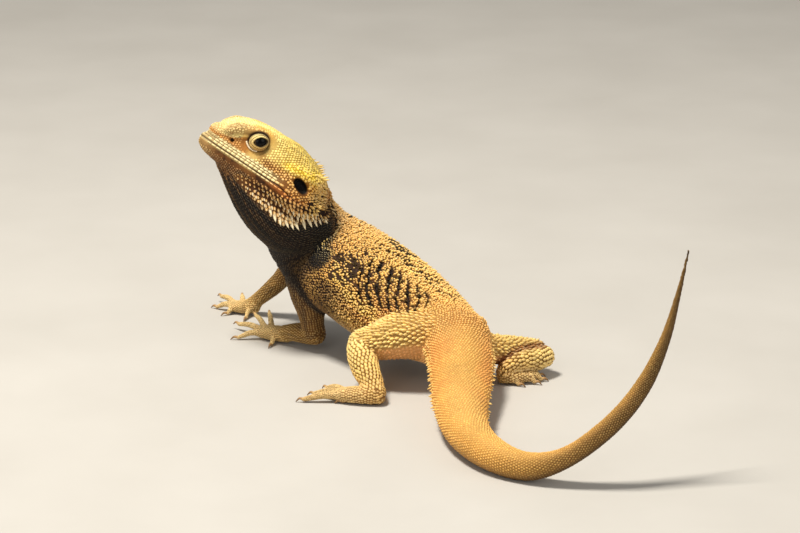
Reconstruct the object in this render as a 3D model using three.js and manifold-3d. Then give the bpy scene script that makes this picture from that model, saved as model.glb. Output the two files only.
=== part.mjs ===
// Bearded dragon (Pogona vitticeps), a life-size still model of a resting adult.
// Units are millimetres and +Z is up. +X is the animal's trailing side and +Y its right:
// the head looks towards -X, the hips point towards +Y and the tail curls round to +X.
import * as THREE from "three";
import { mergeVertices } from "three/addons/utils/BufferGeometryUtils.js";
import Module from "manifold-3d";

const wasm = await Module();
wasm.setup();

// ---- Driving dimensions ----
const GAP = 0.3; // clearance left between neighbouring nodes
const FLOOR = 0; // level on which hands, feet and tail rest
const SNOUT = [-108.6, 50, 94.9]; // tip of the snout at the mouth line
const HEAD_PITCH = 33; // degrees the snout is raised
const HEAD_YAW = 8; // degrees the snout is turned towards the animal's left
const HEAD_ROLL = -3; // degrees the crown leans to the right
const EYE_BACK = 18.8; // from the snout tip back to the eye's centre
const EYE_SIDE = 8.4; // from the midline out to the eye's centre
const EYE_UP = 10.8; // from the mouth line up to the eye's centre
const EYE_RADIUS = 4.5;
const EAR_BACK = 42;
const EAR_UP = 4.8;
const EAR_LENGTH = 7;
const EAR_WIDTH = 3.8;
const CLAW_LENGTH = 3.2;
const CLAW_RADIUS = 0.7;
const CLAW_THIN = 0.3; // half thickness at a claw's tip
const TOE_TAPER = 0.75; // a toe's end against its middle

// ---- Colours of the living skin ----
const YELLOW = 0xe6c060;
const GOLD = 0xd9a552;
const SAND = 0xc9a466;
const THROAT = 0x9c8660;
const TAN = 0xb98a4a;
const BROWN = 0x8a6a40;
const IRIS = 0x2a1c0c;

// ---- Stations ----
// Each row of a body table is [x, y, z, half width, height above, depth below].
const TRUNK = [
  [-72, 56, 68, 13, 13, 16],
  [-67, 58, 57, 17, 14, 20.5],
  [-61, 59, 47, 21.5, 15, 22],
  [-53, 55, 40, 25, 16, 21],
  [-41, 45, 34, 26.3, 16, 20],
  [-27.5, 30.5, 28.5, 25.2, 15.2, 19.5],
  [-14, 15, 24, 20.5, 14, 16.5],
  [-4, 1, 20.5, 15.5, 12.5, 14],
  [-1, -13, 16.5, 13.8, 11.5, 13],
  [-1, -30, 13, 12.8, 10.2, 12],
  [-1.5, -52, 10.5, 11.2, 9, 10.6],
  [1, -74, 8.6, 9.1, 7.8, 8.7],
  [9.5, -93, 7.2, 7.2, 6.6, 7.3],
  [23, -104.5, 6.6, 5.4, 5.4, 6.7],
  [38.5, -109.5, 12, 4.4, 4.4, 4.4],
  [55, -110, 25.5, 4.1, 4.1, 4.1],
  [67, -106.5, 40, 3.6, 3.6, 3.6],
  [75, -103, 57, 2.5, 2.5, 2.5],
  [79.8, -100, 74, 1.4, 1.4, 1.4],
  [83.7, -97, 91.2, 0.5, 0.5, 0.5],
];

// Each row of a head table is [distance behind the snout, half width, height or depth].
const SKULL = [
  [0.6, 2.6, 3.2],
  [3, 5.6, 7.8],
  [7, 7.8, 11.3],
  [11, 9.4, 13.9],
  [15, 11, 16.2],
  [20, 13.4, 17],
  [26, 16, 17.3],
  [32, 18.2, 17.6],
  [38, 19.8, 17.4],
  [43, 20, 16],
  [48, 18.4, 14],
  [52, 14.5, 11],
];
const JAW = [
  [-1.2, 2.6, 4],
  [2, 5.2, 5.8],
  [7, 7.6, 7],
  [13, 10.2, 7.8],
  [20, 13.4, 9.2],
  [28, 17, 10.6],
  [36, 20, 11.6],
  [44, 21.5, 12],
  [51, 19.5, 11],
  [56, 15, 9],
];
// Each row of the throat pouch is [distance behind the snout, drop, half width, height, depth].
const POUCH = [
  [13, 4, 6.5, 4, 5.2],
  [19, 6.4, 10.5, 5, 7],
  [26, 9.2, 14.5, 7, 9],
  [34, 12, 18.5, 10, 11],
  [42, 13.8, 21, 12, 12.4],
  [50, 14, 21.5, 12.5, 13],
  [57, 11, 20.5, 12, 12],
  [63, 6, 16.5, 9, 10],
];

// ---- Legs: each row is [x, y, z, radius] or [x, y, z, half width, height, depth] ----
const LEGS = {
  hind_left: {
    up: [0, 0, 1],
    parts: {
      thigh: [
        [4, 2, 22, 8],
        [-12, 0, 23.5, 9.2],
        [-24, 0, 22.5, 9.6],
        [-34, 0, 20.3, 8.2],
        [-41.5, 1, 18.3, 6.6],
      ],
      shank: [
        [-42.8, 0, 18.3, 5.6],
        [-41.8, -5, 15.5, 6.4],
        [-40, -11, 11.5, 6],
        [-37.5, -16, 7.8, 4.9],
        [-36, -19.5, 5.2, 4.2],
      ],
      foot: [
        [-34.5, -20.5, 4, 3.9, 3.7, 4.4],
        [-40, -20, 4.4, 4.2, 3.5, 4.9],
        [-46, -18, 4.2, 4.9, 2.9, 4.8],
        [-51, -16, 3.4, 4.6, 2.3, 3.9],
      ],
    },
    digits: [
      [[-44, -19.5, 2.6], [-53, -19.8], 1.5],
      [[-50, -18, 3], [-69, -18], 1.8],
      [[-50, -16, 3.2], [-64.5, -10], 1.8],
      [[-49, -13.5, 3.2], [-58.5, -1.5], 1.7],
      [[-44, -14.5, 3], [-46, -3], 1.5],
    ],
  },
  hind_right: {
    up: [0, 0, 1],
    parts: {
      thigh: [
        [-4, 3, 16.8, 7.2],
        [10, 7, 14.2, 6.6],
        [22, 13, 11.8, 5.9],
        [31, 17.5, 9.6, 5.4],
      ],
      shank: [
        [35.2, 15.5, 8.3, 4.8],
        [31, 12, 8.4, 5.4],
        [25, 8.2, 9.2, 4.9],
        [20, 5.2, 8.2, 4.4],
        [17.8, 4.4, 5.6, 3.9],
      ],
      foot: [
        [17, 4.2, 4, 3.6, 3.4, 4.4],
        [22, 4.6, 4, 3.9, 2.7, 4.5],
        [28, 6.6, 3.4, 4, 2.2, 3.8],
      ],
    },
    digits: [
      [[20.5, 2.6, 2.6], [26.5, -0.5], 1.4],
      [[27, 4.6, 3], [33.5, 2], 1.6],
      [[28.5, 6.4, 3], [36.5, 6.5], 1.7],
      [[27.5, 8.6, 3], [35.5, 12.5], 1.7],
      [[24, 9.2, 3], [29, 15.5], 1.4],
    ],
  },
  front_left: {
    up: [-1, 0, 0],
    parts: {
      upper_arm: [
        [-58, 56, 42, 8.5],
        [-66, 48.5, 36, 8.8],
        [-66, 45, 28, 8.2],
        [-64.5, 45, 19, 6.5],
        [-63.5, 45.5, 11, 5.2],
      ],
      forearm: [
        [-62, 44.5, 8, 5],
        [-65, 47, 7.4, 5.2],
        [-71, 51, 6.6, 4.5],
        [-76, 54, 5.6, 3.6],
      ],
      hand: [
        [-74.5, 53, 5, 3.4, 3.2, 4],
        [-80, 58, 4.8, 4.6, 2.6, 5.3],
        [-86, 62.5, 3.8, 4.6, 2, 4.3],
      ],
    },
    digits: [
      [[-82, 63, 3.6], [-84, 79, 6], 1.4],
      [[-85, 64.5, 3.6], [-91, 80.5, 4.5], 1.4],
      [[-86.5, 63.5, 3.2], [-99.5, 74.5, 2], 1.5],
      [[-86, 60.5, 3.2], [-100, 59.5], 1.5],
      [[-80, 56, 3], [-83, 48], 1.4],
    ],
  },
  front_right: {
    up: [-1, 0, 0],
    parts: {
      upper_arm: [
        [-64, 68, 42, 9.2],
        [-70, 77, 35, 7.6],
        [-73, 83.5, 27, 5.6],
        [-77, 87, 20.5, 4.7],
      ],
      forearm: [
        [-77, 87.5, 20.5, 4.5],
        [-82, 89.5, 14.8, 4.3],
        [-87.5, 92, 9.3, 3.7],
        [-92, 94, 5.2, 3.4],
      ],
      hand: [
        [-90.5, 92.5, 5, 3.4, 3, 4],
        [-96, 95.5, 4.2, 4.4, 2.4, 4.7],
        [-101, 98, 3.4, 4.2, 1.8, 3.9],
      ],
    },
    digits: [
      [[-93, 92, 3.2], [-95.5, 83.5], 1.3],
      [[-99, 95, 3.2], [-106, 91.5], 1.4],
      [[-101, 97.5, 3.2], [-111, 103], 1.5],
      [[-100.5, 100, 3.2], [-108.5, 112, 2.5], 1.5],
      [[-96.5, 99.5, 3.2], [-97.5, 112, 3], 1.4],
    ],
  },
};

// Where the long body is parted: name, colour, station at which the length begins.
const LENGTHS = [
  ["neck", SAND, 0],
  ["shoulders", SAND, 2.2],
  ["trunk", GOLD, 3.8],
  ["hips", GOLD, 6],
  ["tail_1", GOLD, 8],
  ["tail_2", GOLD, 10],
  ["tail_3", TAN, 12],
  ["tail_4", TAN, 14],
  ["tail_5", BROWN, 16],
];

// ---- Geometry ----
// A point on the smooth curve through the rows, at station s.
function along(rows, s) {
  const last = rows.length - 1;
  const i = Math.min(Math.max(Math.floor(s), 0), last - 1);
  const f = s - i;
  const b = rows[i];
  const c = rows[i + 1];
  const a = rows[i - 1] || b.map((v, k) => 2 * v - c[k]);
  const d = rows[i + 2] || c.map((v, k) => 2 * v - b[k]);
  return b.map((v, k) => {
    const linear = (c[k] - a[k]) * f;
    const square = (2 * a[k] - 5 * v + 4 * c[k] - d[k]) * f * f;
    const cube = (3 * v - a[k] - 3 * c[k] + d[k]) * f ** 3;
    return (2 * v + linear + square + cube) / 2;
  });
}

// A ring around the curve: centre, forward, side and up directions and its three radii.
// A wide spread turns the rings evenly through a sharp bend, so that they never cross.
function frameAt(rows, s, up, spread) {
  const here = along(rows, s);
  const ahead = new THREE.Vector3(...along(rows, Math.min(s + spread, rows.length - 1)));
  const behind = new THREE.Vector3(...along(rows, Math.max(s - spread, 0)));
  const forward = ahead.sub(behind).normalize();
  const side = new THREE.Vector3(...up).cross(forward).normalize();
  const top = forward.clone().cross(side);
  const [x, y, z, w, h = w, d = h] = here;
  return { centre: new THREE.Vector3(x, y, z), forward, side, top, w, h, d };
}

// A closed body swept along the rows from station a to b. A dome of the given share of
// the end's radius rounds either end, and grow adds the same depth all over.
function loft(rows, options = {}) {
  const { up = [0, 0, 1], sides = 12, perStation = 2, grow = 0 } = options;
  const { from = 0, to = rows.length - 1, domes = [0.8, 0.8] } = options;
  const { over = 2, under = 2.2, spread = 0.01 } = options;
  const count = Math.max(2, Math.round((to - from) * perStation) + 1);
  const rings = [];
  const add = (frame, shift, scale) => rings.push({ frame, shift, scale });
  const start = frameAt(rows, from, up, spread);
  const end = frameAt(rows, to, up, spread);
  const reach = (frame, dome) => dome * Math.min(frame.w, frame.h) + grow;
  const steps = [60, 30].map((angle) => (angle * Math.PI) / 180);
  if (domes[0]) {
    steps.forEach((a) => add(start, -reach(start, domes[0]) * Math.sin(a), Math.cos(a)));
  }
  for (let i = 0; i < count; i += 1) {
    add(frameAt(rows, from + ((to - from) * i) / (count - 1), up, spread), 0, 1);
  }
  if (domes[1]) {
    steps
      .toReversed()
      .forEach((a) => add(end, reach(end, domes[1]) * Math.sin(a), Math.cos(a)));
  }
  const points = [];
  for (const { frame, shift, scale } of rings) {
    for (let k = 0; k < sides; k += 1) {
      const angle = (2 * Math.PI * k) / sides;
      const c = Math.cos(angle);
      const s = Math.sin(angle);
      const power = 2 / (s < 0 ? under : over);
      const across = Math.sign(c) * Math.abs(c) ** power * (frame.w + grow) * scale;
      const rise = s < 0 ? frame.d + grow : frame.h + grow;
      const upwards = Math.sign(s) * Math.abs(s) ** power * rise * scale;
      const p = frame.centre.clone().addScaledVector(frame.forward, shift);
      p.addScaledVector(frame.side, across).addScaledVector(frame.top, upwards);
      points.push(p);
    }
  }
  const first = start.centre.clone();
  first.addScaledVector(start.forward, domes[0] ? -reach(start, domes[0]) : 0);
  const final = end.centre.clone();
  final.addScaledVector(end.forward, domes[1] ? reach(end, domes[1]) : 0);
  points.push(first, final);
  const faces = [];
  const tail = points.length - 1;
  for (let k = 0; k < sides; k += 1) {
    const next = (k + 1) % sides;
    faces.push(tail - 1, next, k);
    for (let r = 0; r < rings.length - 1; r += 1) {
      const a = r * sides;
      const b = a + sides;
      faces.push(a + k, a + next, b + next, a + k, b + next, b + k);
    }
    const close = (rings.length - 1) * sides;
    faces.push(tail, close + k, close + next);
  }
  const geometry = new THREE.BufferGeometry().setFromPoints(points);
  return geometry.setIndex(faces);
}

// A ball or egg of radii r about a centre, turned by an angle about its side axis.
function egg(centre, radii, tilt = 0, grow = 0) {
  const geometry = new THREE.SphereGeometry(1, 10, 7);
  geometry.scale(...radii.map((r) => r + grow));
  geometry.rotateY(tilt);
  return geometry.translate(...centre);
}

// A manifold solid from a geometry.
function solid(geometry) {
  const bare = geometry.clone();
  bare.deleteAttribute("normal");
  bare.deleteAttribute("uv");
  const merged = mergeVertices(bare, 1e-4);
  const numbers = { numProp: 3, vertProperties: merged.attributes.position.array };
  const triVerts = new Uint32Array(merged.index.array);
  return new wasm.Manifold(new wasm.Mesh({ ...numbers, triVerts }));
}

// The largest of the bodies a cut leaves.
function largest(body) {
  return body.decompose().reduce((a, b) => (b.volume() > a.volume() ? b : a));
}

function joined(bodies) {
  return bodies.reduce((a, b) => a.add(b));
}

function block(size, centre) {
  return solid(new THREE.BoxGeometry(...size).translate(...centre));
}

// ---- Head, built in its own frame: x back from the snout, y to the right, z up ----
const degrees = THREE.MathUtils.degToRad;
const headPlace = new THREE.Matrix4()
  .makeTranslation(...SNOUT)
  .multiply(new THREE.Matrix4().makeRotationZ(degrees(HEAD_YAW)))
  .multiply(new THREE.Matrix4().makeRotationY(degrees(HEAD_PITCH)))
  .multiply(new THREE.Matrix4().makeRotationX(degrees(HEAD_ROLL)));

function headLoft(rows, grow, options = {}) {
  const shape = { sides: 16, perStation: 1.3, domes: [0.5, 0.6] };
  return solid(loft(rows, { ...shape, grow, ...options }));
}

function skullRow([back, w, height]) {
  return [back, 0, 0, w, height, 2];
}

function jawRow([back, w, depth]) {
  return [back, 0, 0, w, 2, depth];
}

function pouchRow([back, drop, w, h, d]) {
  return [back, 0, -drop, w, h, d];
}

// Both sides of a paired egg, its y given on the right.
function pair([x, y, z], radii, tilt, grow) {
  const right = solid(egg([x, y, z], radii, tilt, grow));
  return right.add(solid(egg([x, -y, z], radii, tilt, grow)));
}

function skullShape(grow) {
  return joined([
    headLoft(SKULL.map(skullRow), grow, { over: 2.6 }),
    pair([EYE_BACK - 0.8, EYE_SIDE - 0.9, EYE_UP + 2.3], [10.8, 4, 3.2], degrees(-6), grow),
    pair([44, 14.5, 9], [8.5, 4.4, 3.6], degrees(-4), grow),
    pair([43, 15.5, -1], [11, 6.4, 6.5], degrees(8), grow),
  ]);
}

const mouthUp = block([150, 120, 60], [30, 0, -30 + GAP / 2]);
const mouthDown = block([150, 120, 60], [30, 0, 30 - GAP / 2]);
const sockets = pair([EYE_BACK, EYE_SIDE, EYE_UP], [1, 1, 1], 0, EYE_RADIUS - 1 + GAP);
const ears = pair(
  [EAR_BACK, 20.6, EAR_UP],
  [EAR_LENGTH / 2, 2.2, EAR_WIDTH / 2],
  degrees(18),
  0,
);

function placed(body) {
  return body.transform(headPlace.elements);
}

const head = placed(skullShape(0).subtract(mouthUp).subtract(sockets).subtract(ears));
const headGrown = placed(skullShape(GAP).subtract(mouthUp.translate(0, 0, -GAP)));
const lowerJaw = placed(headLoft(JAW.map(jawRow), 0).subtract(mouthDown));
const jawGrown = placed(headLoft(JAW.map(jawRow), GAP).subtract(mouthDown.translate(0, 0, GAP)));
const pouchRows = POUCH.map(pouchRow);
const BODY_RINGS = { sides: 18, perStation: 2.5, spread: 0.8 };
const bodyGrown = solid(loft(TRUNK, { ...BODY_RINGS, grow: 2 * GAP }));
const around = joined([headGrown, jawGrown, bodyGrown]);
const pouch = placed(headLoft(pouchRows, 0)).subtract(around);
const pouchGrown = placed(headLoft(pouchRows, GAP));

// ---- The long body from neck to tail tip, parted across its length ----
const above = block([600, 600, 400], [0, 0, 200 + FLOOR]);
const lastStation = TRUNK.length - 1;
const nodes = [];

function halfGap(station) {
  const step = new THREE.Vector3(...along(TRUNK, station + 0.05));
  const length = step.distanceTo(new THREE.Vector3(...along(TRUNK, station - 0.05)));
  return (GAP / 2) * (0.1 / length);
}

LENGTHS.forEach(([name, colour, begins], i) => {
  const following = LENGTHS[i + 1];
  const ends = following ? following[2] : lastStation;
  const options = {
    ...BODY_RINGS,
    sides: ends > 14 ? 12 : 18,
    from: begins ? begins + halfGap(begins) : 0,
    to: following ? ends - halfGap(ends) : lastStation,
    domes: [begins ? 0 : 0.8, following ? 0 : 1],
  };
  let body = solid(loft(TRUNK, options));
  if (name === "neck" || name === "shoulders") {
    body = body.subtract(headGrown).subtract(jawGrown);
  }
  nodes.push([name, colour, body]);
});

// ---- Legs ----
// One toe or finger from its knuckle to the tip of its claw. The tip is given in plan,
// with how far it is lifted off the floor.
function digit([base, tip, radius]) {
  const knuckle = new THREE.Vector3(...base);
  const [x, y, lift = 0] = tip;
  const clawTip = new THREE.Vector3(x, y, CLAW_THIN + lift);
  const forward = clawTip.clone().sub(knuckle).setZ(0).normalize();
  const end = clawTip.clone().addScaledVector(forward, -CLAW_LENGTH);
  end.z = radius * TOE_TAPER - 0.15 + lift;
  const bend = knuckle.clone().lerp(end, 0.5);
  bend.z += 1;
  const arch = clawTip.clone().addScaledVector(forward, -CLAW_LENGTH * 0.4);
  arch.z = end.z + 0.4;
  const toe = [
    [...knuckle, radius * 1.15],
    [...bend, radius],
    [...end, radius * TOE_TAPER],
  ];
  const claw = [
    [...end, CLAW_RADIUS],
    [...arch, CLAW_RADIUS * 0.8],
    [...clawTip, CLAW_THIN],
  ];
  const body = solid(loft(toe, { sides: 6, perStation: 1, domes: [0, 0.8] }));
  return body.add(solid(loft(claw, { sides: 4, perStation: 1, domes: [0, 0] })));
}

for (const [leg, { up, parts, digits }] of Object.entries(LEGS)) {
  const [place, hand] = leg.split("_");
  let taken = joined([bodyGrown, pouchGrown]);
  for (const [name, rows] of Object.entries(parts)) {
    const last = name === "foot" || name === "hand";
    const options = { up: last ? [0, 0, 1] : up, sides: 12, perStation: 1.3, under: 2 };
    const toes = last ? digits.map(digit) : [];
    const body = joined([solid(loft(rows, options)), ...toes]);
    const colour = place === "hind" ? YELLOW : SAND;
    nodes.push([`${name}_${hand}`, colour, largest(body.subtract(taken))]);
    taken = taken.add(solid(loft(rows, { ...options, grow: GAP })));
  }
}

// ---- The finished group, its origin at the middle of the underside ----
nodes.push(["head", YELLOW, head], ["lower_jaw", SAND, largest(lowerJaw)]);
nodes.push(["throat", THROAT, largest(pouch)]);
for (const [name, side] of [["eye_left", -1], ["eye_right", 1]]) {
  const centre = [EYE_BACK, side * EYE_SIDE, EYE_UP];
  const radii = [EYE_RADIUS, EYE_RADIUS, EYE_RADIUS];
  nodes.push([name, IRIS, placed(solid(egg(centre, radii)))]);
}

const dragon = new THREE.Group();
for (const [name, colour, body] of nodes) {
  const { numProp, vertProperties, triVerts } = largest(body.intersect(above)).getMesh();
  const geometry = new THREE.BufferGeometry();
  const buffer = new THREE.InterleavedBuffer(vertProperties, numProp);
  geometry.setAttribute("position", new THREE.InterleavedBufferAttribute(buffer, 3, 0));
  geometry.setIndex(new THREE.BufferAttribute(triVerts, 1));
  const material = new THREE.MeshStandardMaterial({ color: colour, roughness: 0.7 });
  const mesh = new THREE.Mesh(geometry, material);
  mesh.name = name;
  dragon.add(mesh);
}
const bounds = new THREE.Box3().setFromObject(dragon);
const middle = bounds.getCenter(new THREE.Vector3());
dragon.position.set(-middle.x, -middle.y, -bounds.min.z);

export default dragon;
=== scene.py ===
# %% [markdown]
# # A bearded dragon on the look-out
# The model is a resting adult, life size, with its head raised and its tail curled round.
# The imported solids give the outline. Here they get one skin, scales, spines, claws and eyes.
# Everything is worked out in millimetres in the animal's own frame and set into the packed
# model's frame, in metres, when a piece is finished.

import bpy
import numpy as np
import openvdb
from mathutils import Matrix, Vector


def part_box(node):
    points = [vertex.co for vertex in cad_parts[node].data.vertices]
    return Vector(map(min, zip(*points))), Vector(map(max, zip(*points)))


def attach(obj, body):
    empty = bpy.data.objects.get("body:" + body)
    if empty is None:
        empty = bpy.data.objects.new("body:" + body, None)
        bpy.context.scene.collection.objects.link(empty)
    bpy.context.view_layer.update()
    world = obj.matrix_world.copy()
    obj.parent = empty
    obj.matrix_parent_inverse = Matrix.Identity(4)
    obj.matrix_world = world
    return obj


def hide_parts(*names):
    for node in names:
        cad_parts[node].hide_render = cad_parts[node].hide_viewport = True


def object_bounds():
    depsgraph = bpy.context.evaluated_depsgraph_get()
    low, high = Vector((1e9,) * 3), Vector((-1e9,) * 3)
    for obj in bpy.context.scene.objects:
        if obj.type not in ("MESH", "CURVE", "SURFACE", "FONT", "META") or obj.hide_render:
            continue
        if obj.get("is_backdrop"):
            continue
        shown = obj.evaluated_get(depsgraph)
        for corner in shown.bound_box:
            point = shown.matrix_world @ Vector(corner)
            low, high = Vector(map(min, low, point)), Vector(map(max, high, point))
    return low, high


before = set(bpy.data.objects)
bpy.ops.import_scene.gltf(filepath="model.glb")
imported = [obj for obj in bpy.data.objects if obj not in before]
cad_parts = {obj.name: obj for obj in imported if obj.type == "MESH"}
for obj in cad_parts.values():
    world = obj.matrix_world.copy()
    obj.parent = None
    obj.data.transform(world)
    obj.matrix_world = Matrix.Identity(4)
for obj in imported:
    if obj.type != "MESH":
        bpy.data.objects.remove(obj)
cad_low, cad_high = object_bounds()
print("solids:", len(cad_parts), "box:", [round(v, 4) for v in cad_high - cad_low])

# %% [markdown]
# ## The body as rows of stations
# A lizard's body is a few tapering tubes: the long body from neck to tail tip, the skull, the
# jaw, the throat pouch and the parts of four legs. Each is written as a short row of stations:
# the centre, the half width, the height above and the depth below. The rows could be
# sculpted by hand, but these are the solids' own, so skin and solids can't drift apart.

# %% Rows of the long body, the head and the throat
COAT = 0.5  # depth of the scales over the skin
SNOUT = (-108.6, 50, 94.9)  # tip of the snout at the mouth line
HEAD_PITCH = 33  # degrees the snout is raised
HEAD_YAW = 8  # degrees it is turned to the animal's left
HEAD_ROLL = -3  # degrees the crown leans to the right
EYE = np.array([18.8, 8.4, 10.8])  # behind the snout, out from the midline, above the mouth
EYE_RADIUS = 4.5
EAR = np.array([42, 20.6, 4.8])

TRUNK = [
    [-72, 56, 68, 13, 13, 16], [-67, 58, 57, 17, 14, 20.5], [-61, 59, 47, 21.5, 15, 22],
    [-53, 55, 40, 25, 16, 21], [-41, 45, 34, 26.3, 16, 20], [-27.5, 30.5, 28.5, 25.2, 15.2, 19.5],
    [-14, 15, 24, 20.5, 14, 16.5], [-4, 1, 20.5, 15.5, 12.5, 14], [-1, -13, 16.5, 13.8, 11.5, 13],
    [-1, -30, 13, 12.8, 10.2, 12], [-1.5, -52, 10.5, 11.2, 9, 10.6], [1, -74, 8.6, 9.1, 7.8, 8.7],
    [9.5, -93, 7.2, 7.2, 6.6, 7.3], [23, -104.5, 6.6, 5.4, 5.4, 6.7],
    [38.5, -109.5, 12, 4.4, 4.4, 4.4], [55, -110, 25.5, 4.1, 4.1, 4.1],
    [67, -106.5, 40, 3.6, 3.6, 3.6], [75, -103, 57, 2.5, 2.5, 2.5],
    [79.8, -100, 74, 1.4, 1.4, 1.4], [83.7, -97, 91.2, 0.5, 0.5, 0.5],
]
SKULL = [
    [0.6, 2.6, 3.2], [3, 5.6, 7.8], [7, 7.8, 11.3], [11, 9.4, 13.9], [15, 11, 16.2], [20, 13.4, 17],
    [26, 16, 17.3], [32, 18.2, 17.6], [38, 19.8, 17.4], [43, 20, 16], [48, 18.4, 14], [52, 14.5, 11],
]
JAW = [
    [-1.2, 2.6, 4], [2, 5.2, 5.8], [7, 7.6, 7], [13, 10.2, 7.8], [20, 13.4, 9.2],
    [28, 17, 10.6], [36, 20, 11.6], [44, 21.5, 12], [51, 19.5, 11], [56, 15, 9],
]
POUCH = [
    [13, 4, 6.5, 4, 5.2], [19, 6.4, 10.5, 5, 7], [26, 9.2, 14.5, 7, 9], [34, 12, 18.5, 10, 11],
    [42, 13.8, 21, 12, 12.4], [50, 14, 21.5, 12.5, 13], [57, 11, 20.5, 12, 12], [63, 6, 16.5, 9, 10],
]
EGGS = [  # brow, temple and jowl: centre, radii and tilt, on both sides
    [(18, 7.5, 13.1), (10.8, 4, 3.2), -6],
    [(44, 14.5, 9), (8.5, 4.4, 3.6), -4],
    [(43, 15.5, -1), (11, 6.4, 6.5), 8],
]

# %% Rows of the legs
Z_UP, X_UP = (0, 0, 1), (-1, 0, 0)
LEGS = {
    "thigh_left": (Z_UP, [[4, 2, 22, 8], [-12, 0, 23.5, 9.2], [-24, 0, 22.5, 9.6],
                          [-34, 0, 20.3, 8.2], [-41.5, 1, 18.3, 6.6]]),
    "shank_left": (Z_UP, [[-42.8, 0, 18.3, 5.6], [-41.8, -5, 15.5, 6.4], [-40, -11, 11.5, 6],
                          [-37.5, -16, 7.8, 4.9], [-36, -19.5, 5.2, 4.2]]),
    "foot_left": (Z_UP, [[-34.5, -20.5, 4, 3.9, 3.7, 4.4], [-40, -20, 4.4, 4.2, 3.5, 4.9],
                         [-46, -18, 4.2, 4.9, 2.9, 4.8], [-51, -16, 3.4, 4.6, 2.3, 3.9]]),
    "thigh_right": (Z_UP, [[-4, 3, 16.8, 7.2], [10, 7, 14.2, 6.6], [22, 13, 11.8, 5.9],
                           [31, 17.5, 9.6, 5.4]]),
    "shank_right": (Z_UP, [[35.2, 15.5, 8.3, 4.8], [31, 12, 8.4, 5.4], [25, 8.2, 9.2, 4.9],
                           [20, 5.2, 8.2, 4.4], [17.8, 4.4, 5.6, 3.9]]),
    "foot_right": (Z_UP, [[17, 4.2, 4, 3.6, 3.4, 4.4], [22, 4.6, 4, 3.9, 2.7, 4.5],
                          [28, 6.6, 3.4, 4, 2.2, 3.8]]),
    "upper_arm_left": (X_UP, [[-58, 56, 42, 8.5], [-66, 48.5, 36, 8.8], [-66, 45, 28, 8.2],
                              [-64.5, 45, 19, 6.5], [-63.5, 45.5, 11, 5.2]]),
    "forearm_left": (X_UP, [[-62, 44.5, 8, 5], [-65, 47, 7.4, 5.2], [-71, 51, 6.6, 4.5],
                            [-76, 54, 5.6, 3.6]]),
    "hand_left": (Z_UP, [[-74.5, 53, 5, 3.4, 3.2, 4], [-80, 58, 4.8, 4.6, 2.6, 5.3],
                         [-86, 62.5, 3.8, 4.6, 2, 4.3]]),
    "upper_arm_right": (X_UP, [[-64, 68, 42, 9.2], [-70, 77, 35, 7.6], [-73, 83.5, 27, 5.6],
                               [-77, 87, 20.5, 4.7]]),
    "forearm_right": (X_UP, [[-77, 87.5, 20.5, 4.5], [-82, 89.5, 14.8, 4.3], [-87.5, 92, 9.3, 3.7],
                             [-92, 94, 5.2, 3.4]]),
    "hand_right": (Z_UP, [[-90.5, 92.5, 5, 3.4, 3, 4], [-96, 95.5, 4.2, 4.4, 2.4, 4.7],
                          [-101, 98, 3.4, 4.2, 1.8, 3.9]]),
}
# Toes and fingers: knuckle, claw tip with how far it is lifted, and radius.
DIGITS = {
    "foot_left": [[(-44, -19.5, 2.6), (-53, -19.8, 0), 1.5], [(-50, -18, 3), (-69, -18, 0), 1.8],
                  [(-50, -16, 3.2), (-64.5, -10, 0), 1.8], [(-49, -13.5, 3.2), (-58.5, -1.5, 0), 1.7],
                  [(-44, -14.5, 3), (-46, -3, 0), 1.5]],
    "foot_right": [[(20.5, 2.6, 2.6), (26.5, -0.5, 0), 1.4], [(27, 4.6, 3), (33.5, 2, 0), 1.6],
                   [(28.5, 6.4, 3), (36.5, 6.5, 0), 1.7], [(27.5, 8.6, 3), (35.5, 12.5, 0), 1.7],
                   [(24, 9.2, 3), (29, 15.5, 0), 1.4]],
    "hand_left": [[(-82, 63, 3.6), (-84, 79, 6), 1.4], [(-85, 64.5, 3.6), (-91, 80.5, 4.5), 1.4],
                  [(-86.5, 63.5, 3.2), (-99.5, 74.5, 2), 1.5], [(-86, 60.5, 3.2), (-100, 59.5, 0), 1.5],
                  [(-80, 56, 3), (-83, 48, 0), 1.4]],
    "hand_right": [[(-93, 92, 3.2), (-95.5, 83.5, 0), 1.3], [(-99, 95, 3.2), (-106, 91.5, 0), 1.4],
                   [(-101, 97.5, 3.2), (-111, 103, 0), 1.5], [(-100.5, 100, 3.2), (-108.5, 112, 2.5), 1.5],
                   [(-96.5, 99.5, 3.2), (-97.5, 112, 3), 1.4]],
}
CLAW_LENGTH = 3.2
CLAW_THIN = 0.3  # height of a claw's tip over the floor
TOE_TAPER = 0.75  # thickness of a toe's end as a share of its middle
print("leg parts:", len(LEGS), "digits:", sum(map(len, DIGITS.values())))

# %% [markdown]
# ## Sweeping a ring along a line
# A tube whose width and height change could be a Bezier curve with a bevel, which has only one
# radius. Here a ring is carried along a smooth line by formula, so its width, the height above
# and the depth below can differ, and any point of the surface has a station and an angle.
# Those two numbers later carry the scales and the markings.

# %% Smooth rows and swept bodies
def unit(v):
    """Vectors scaled to length one."""
    return v / np.maximum(np.linalg.norm(v, axis=-1, keepdims=True), 1e-9)


def along(rows, s):
    """The Catmull-Rom curve through the rows at stations s: a cubic that meets each row."""
    rows = np.vstack([2 * rows[0] - rows[1], rows, 2 * rows[-1] - rows[-2]])
    i = np.clip(np.floor(s).astype(int), 0, len(rows) - 4)
    f = (s - i)[:, None]
    a, b, c, d = (rows[i + n] for n in range(4))
    cubic = (3 * b - a - 3 * c + d) * f**3
    return (2 * b + (c - a) * f + (2 * a - 5 * b + 4 * c - d) * f**2 + cubic) / 2


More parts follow.
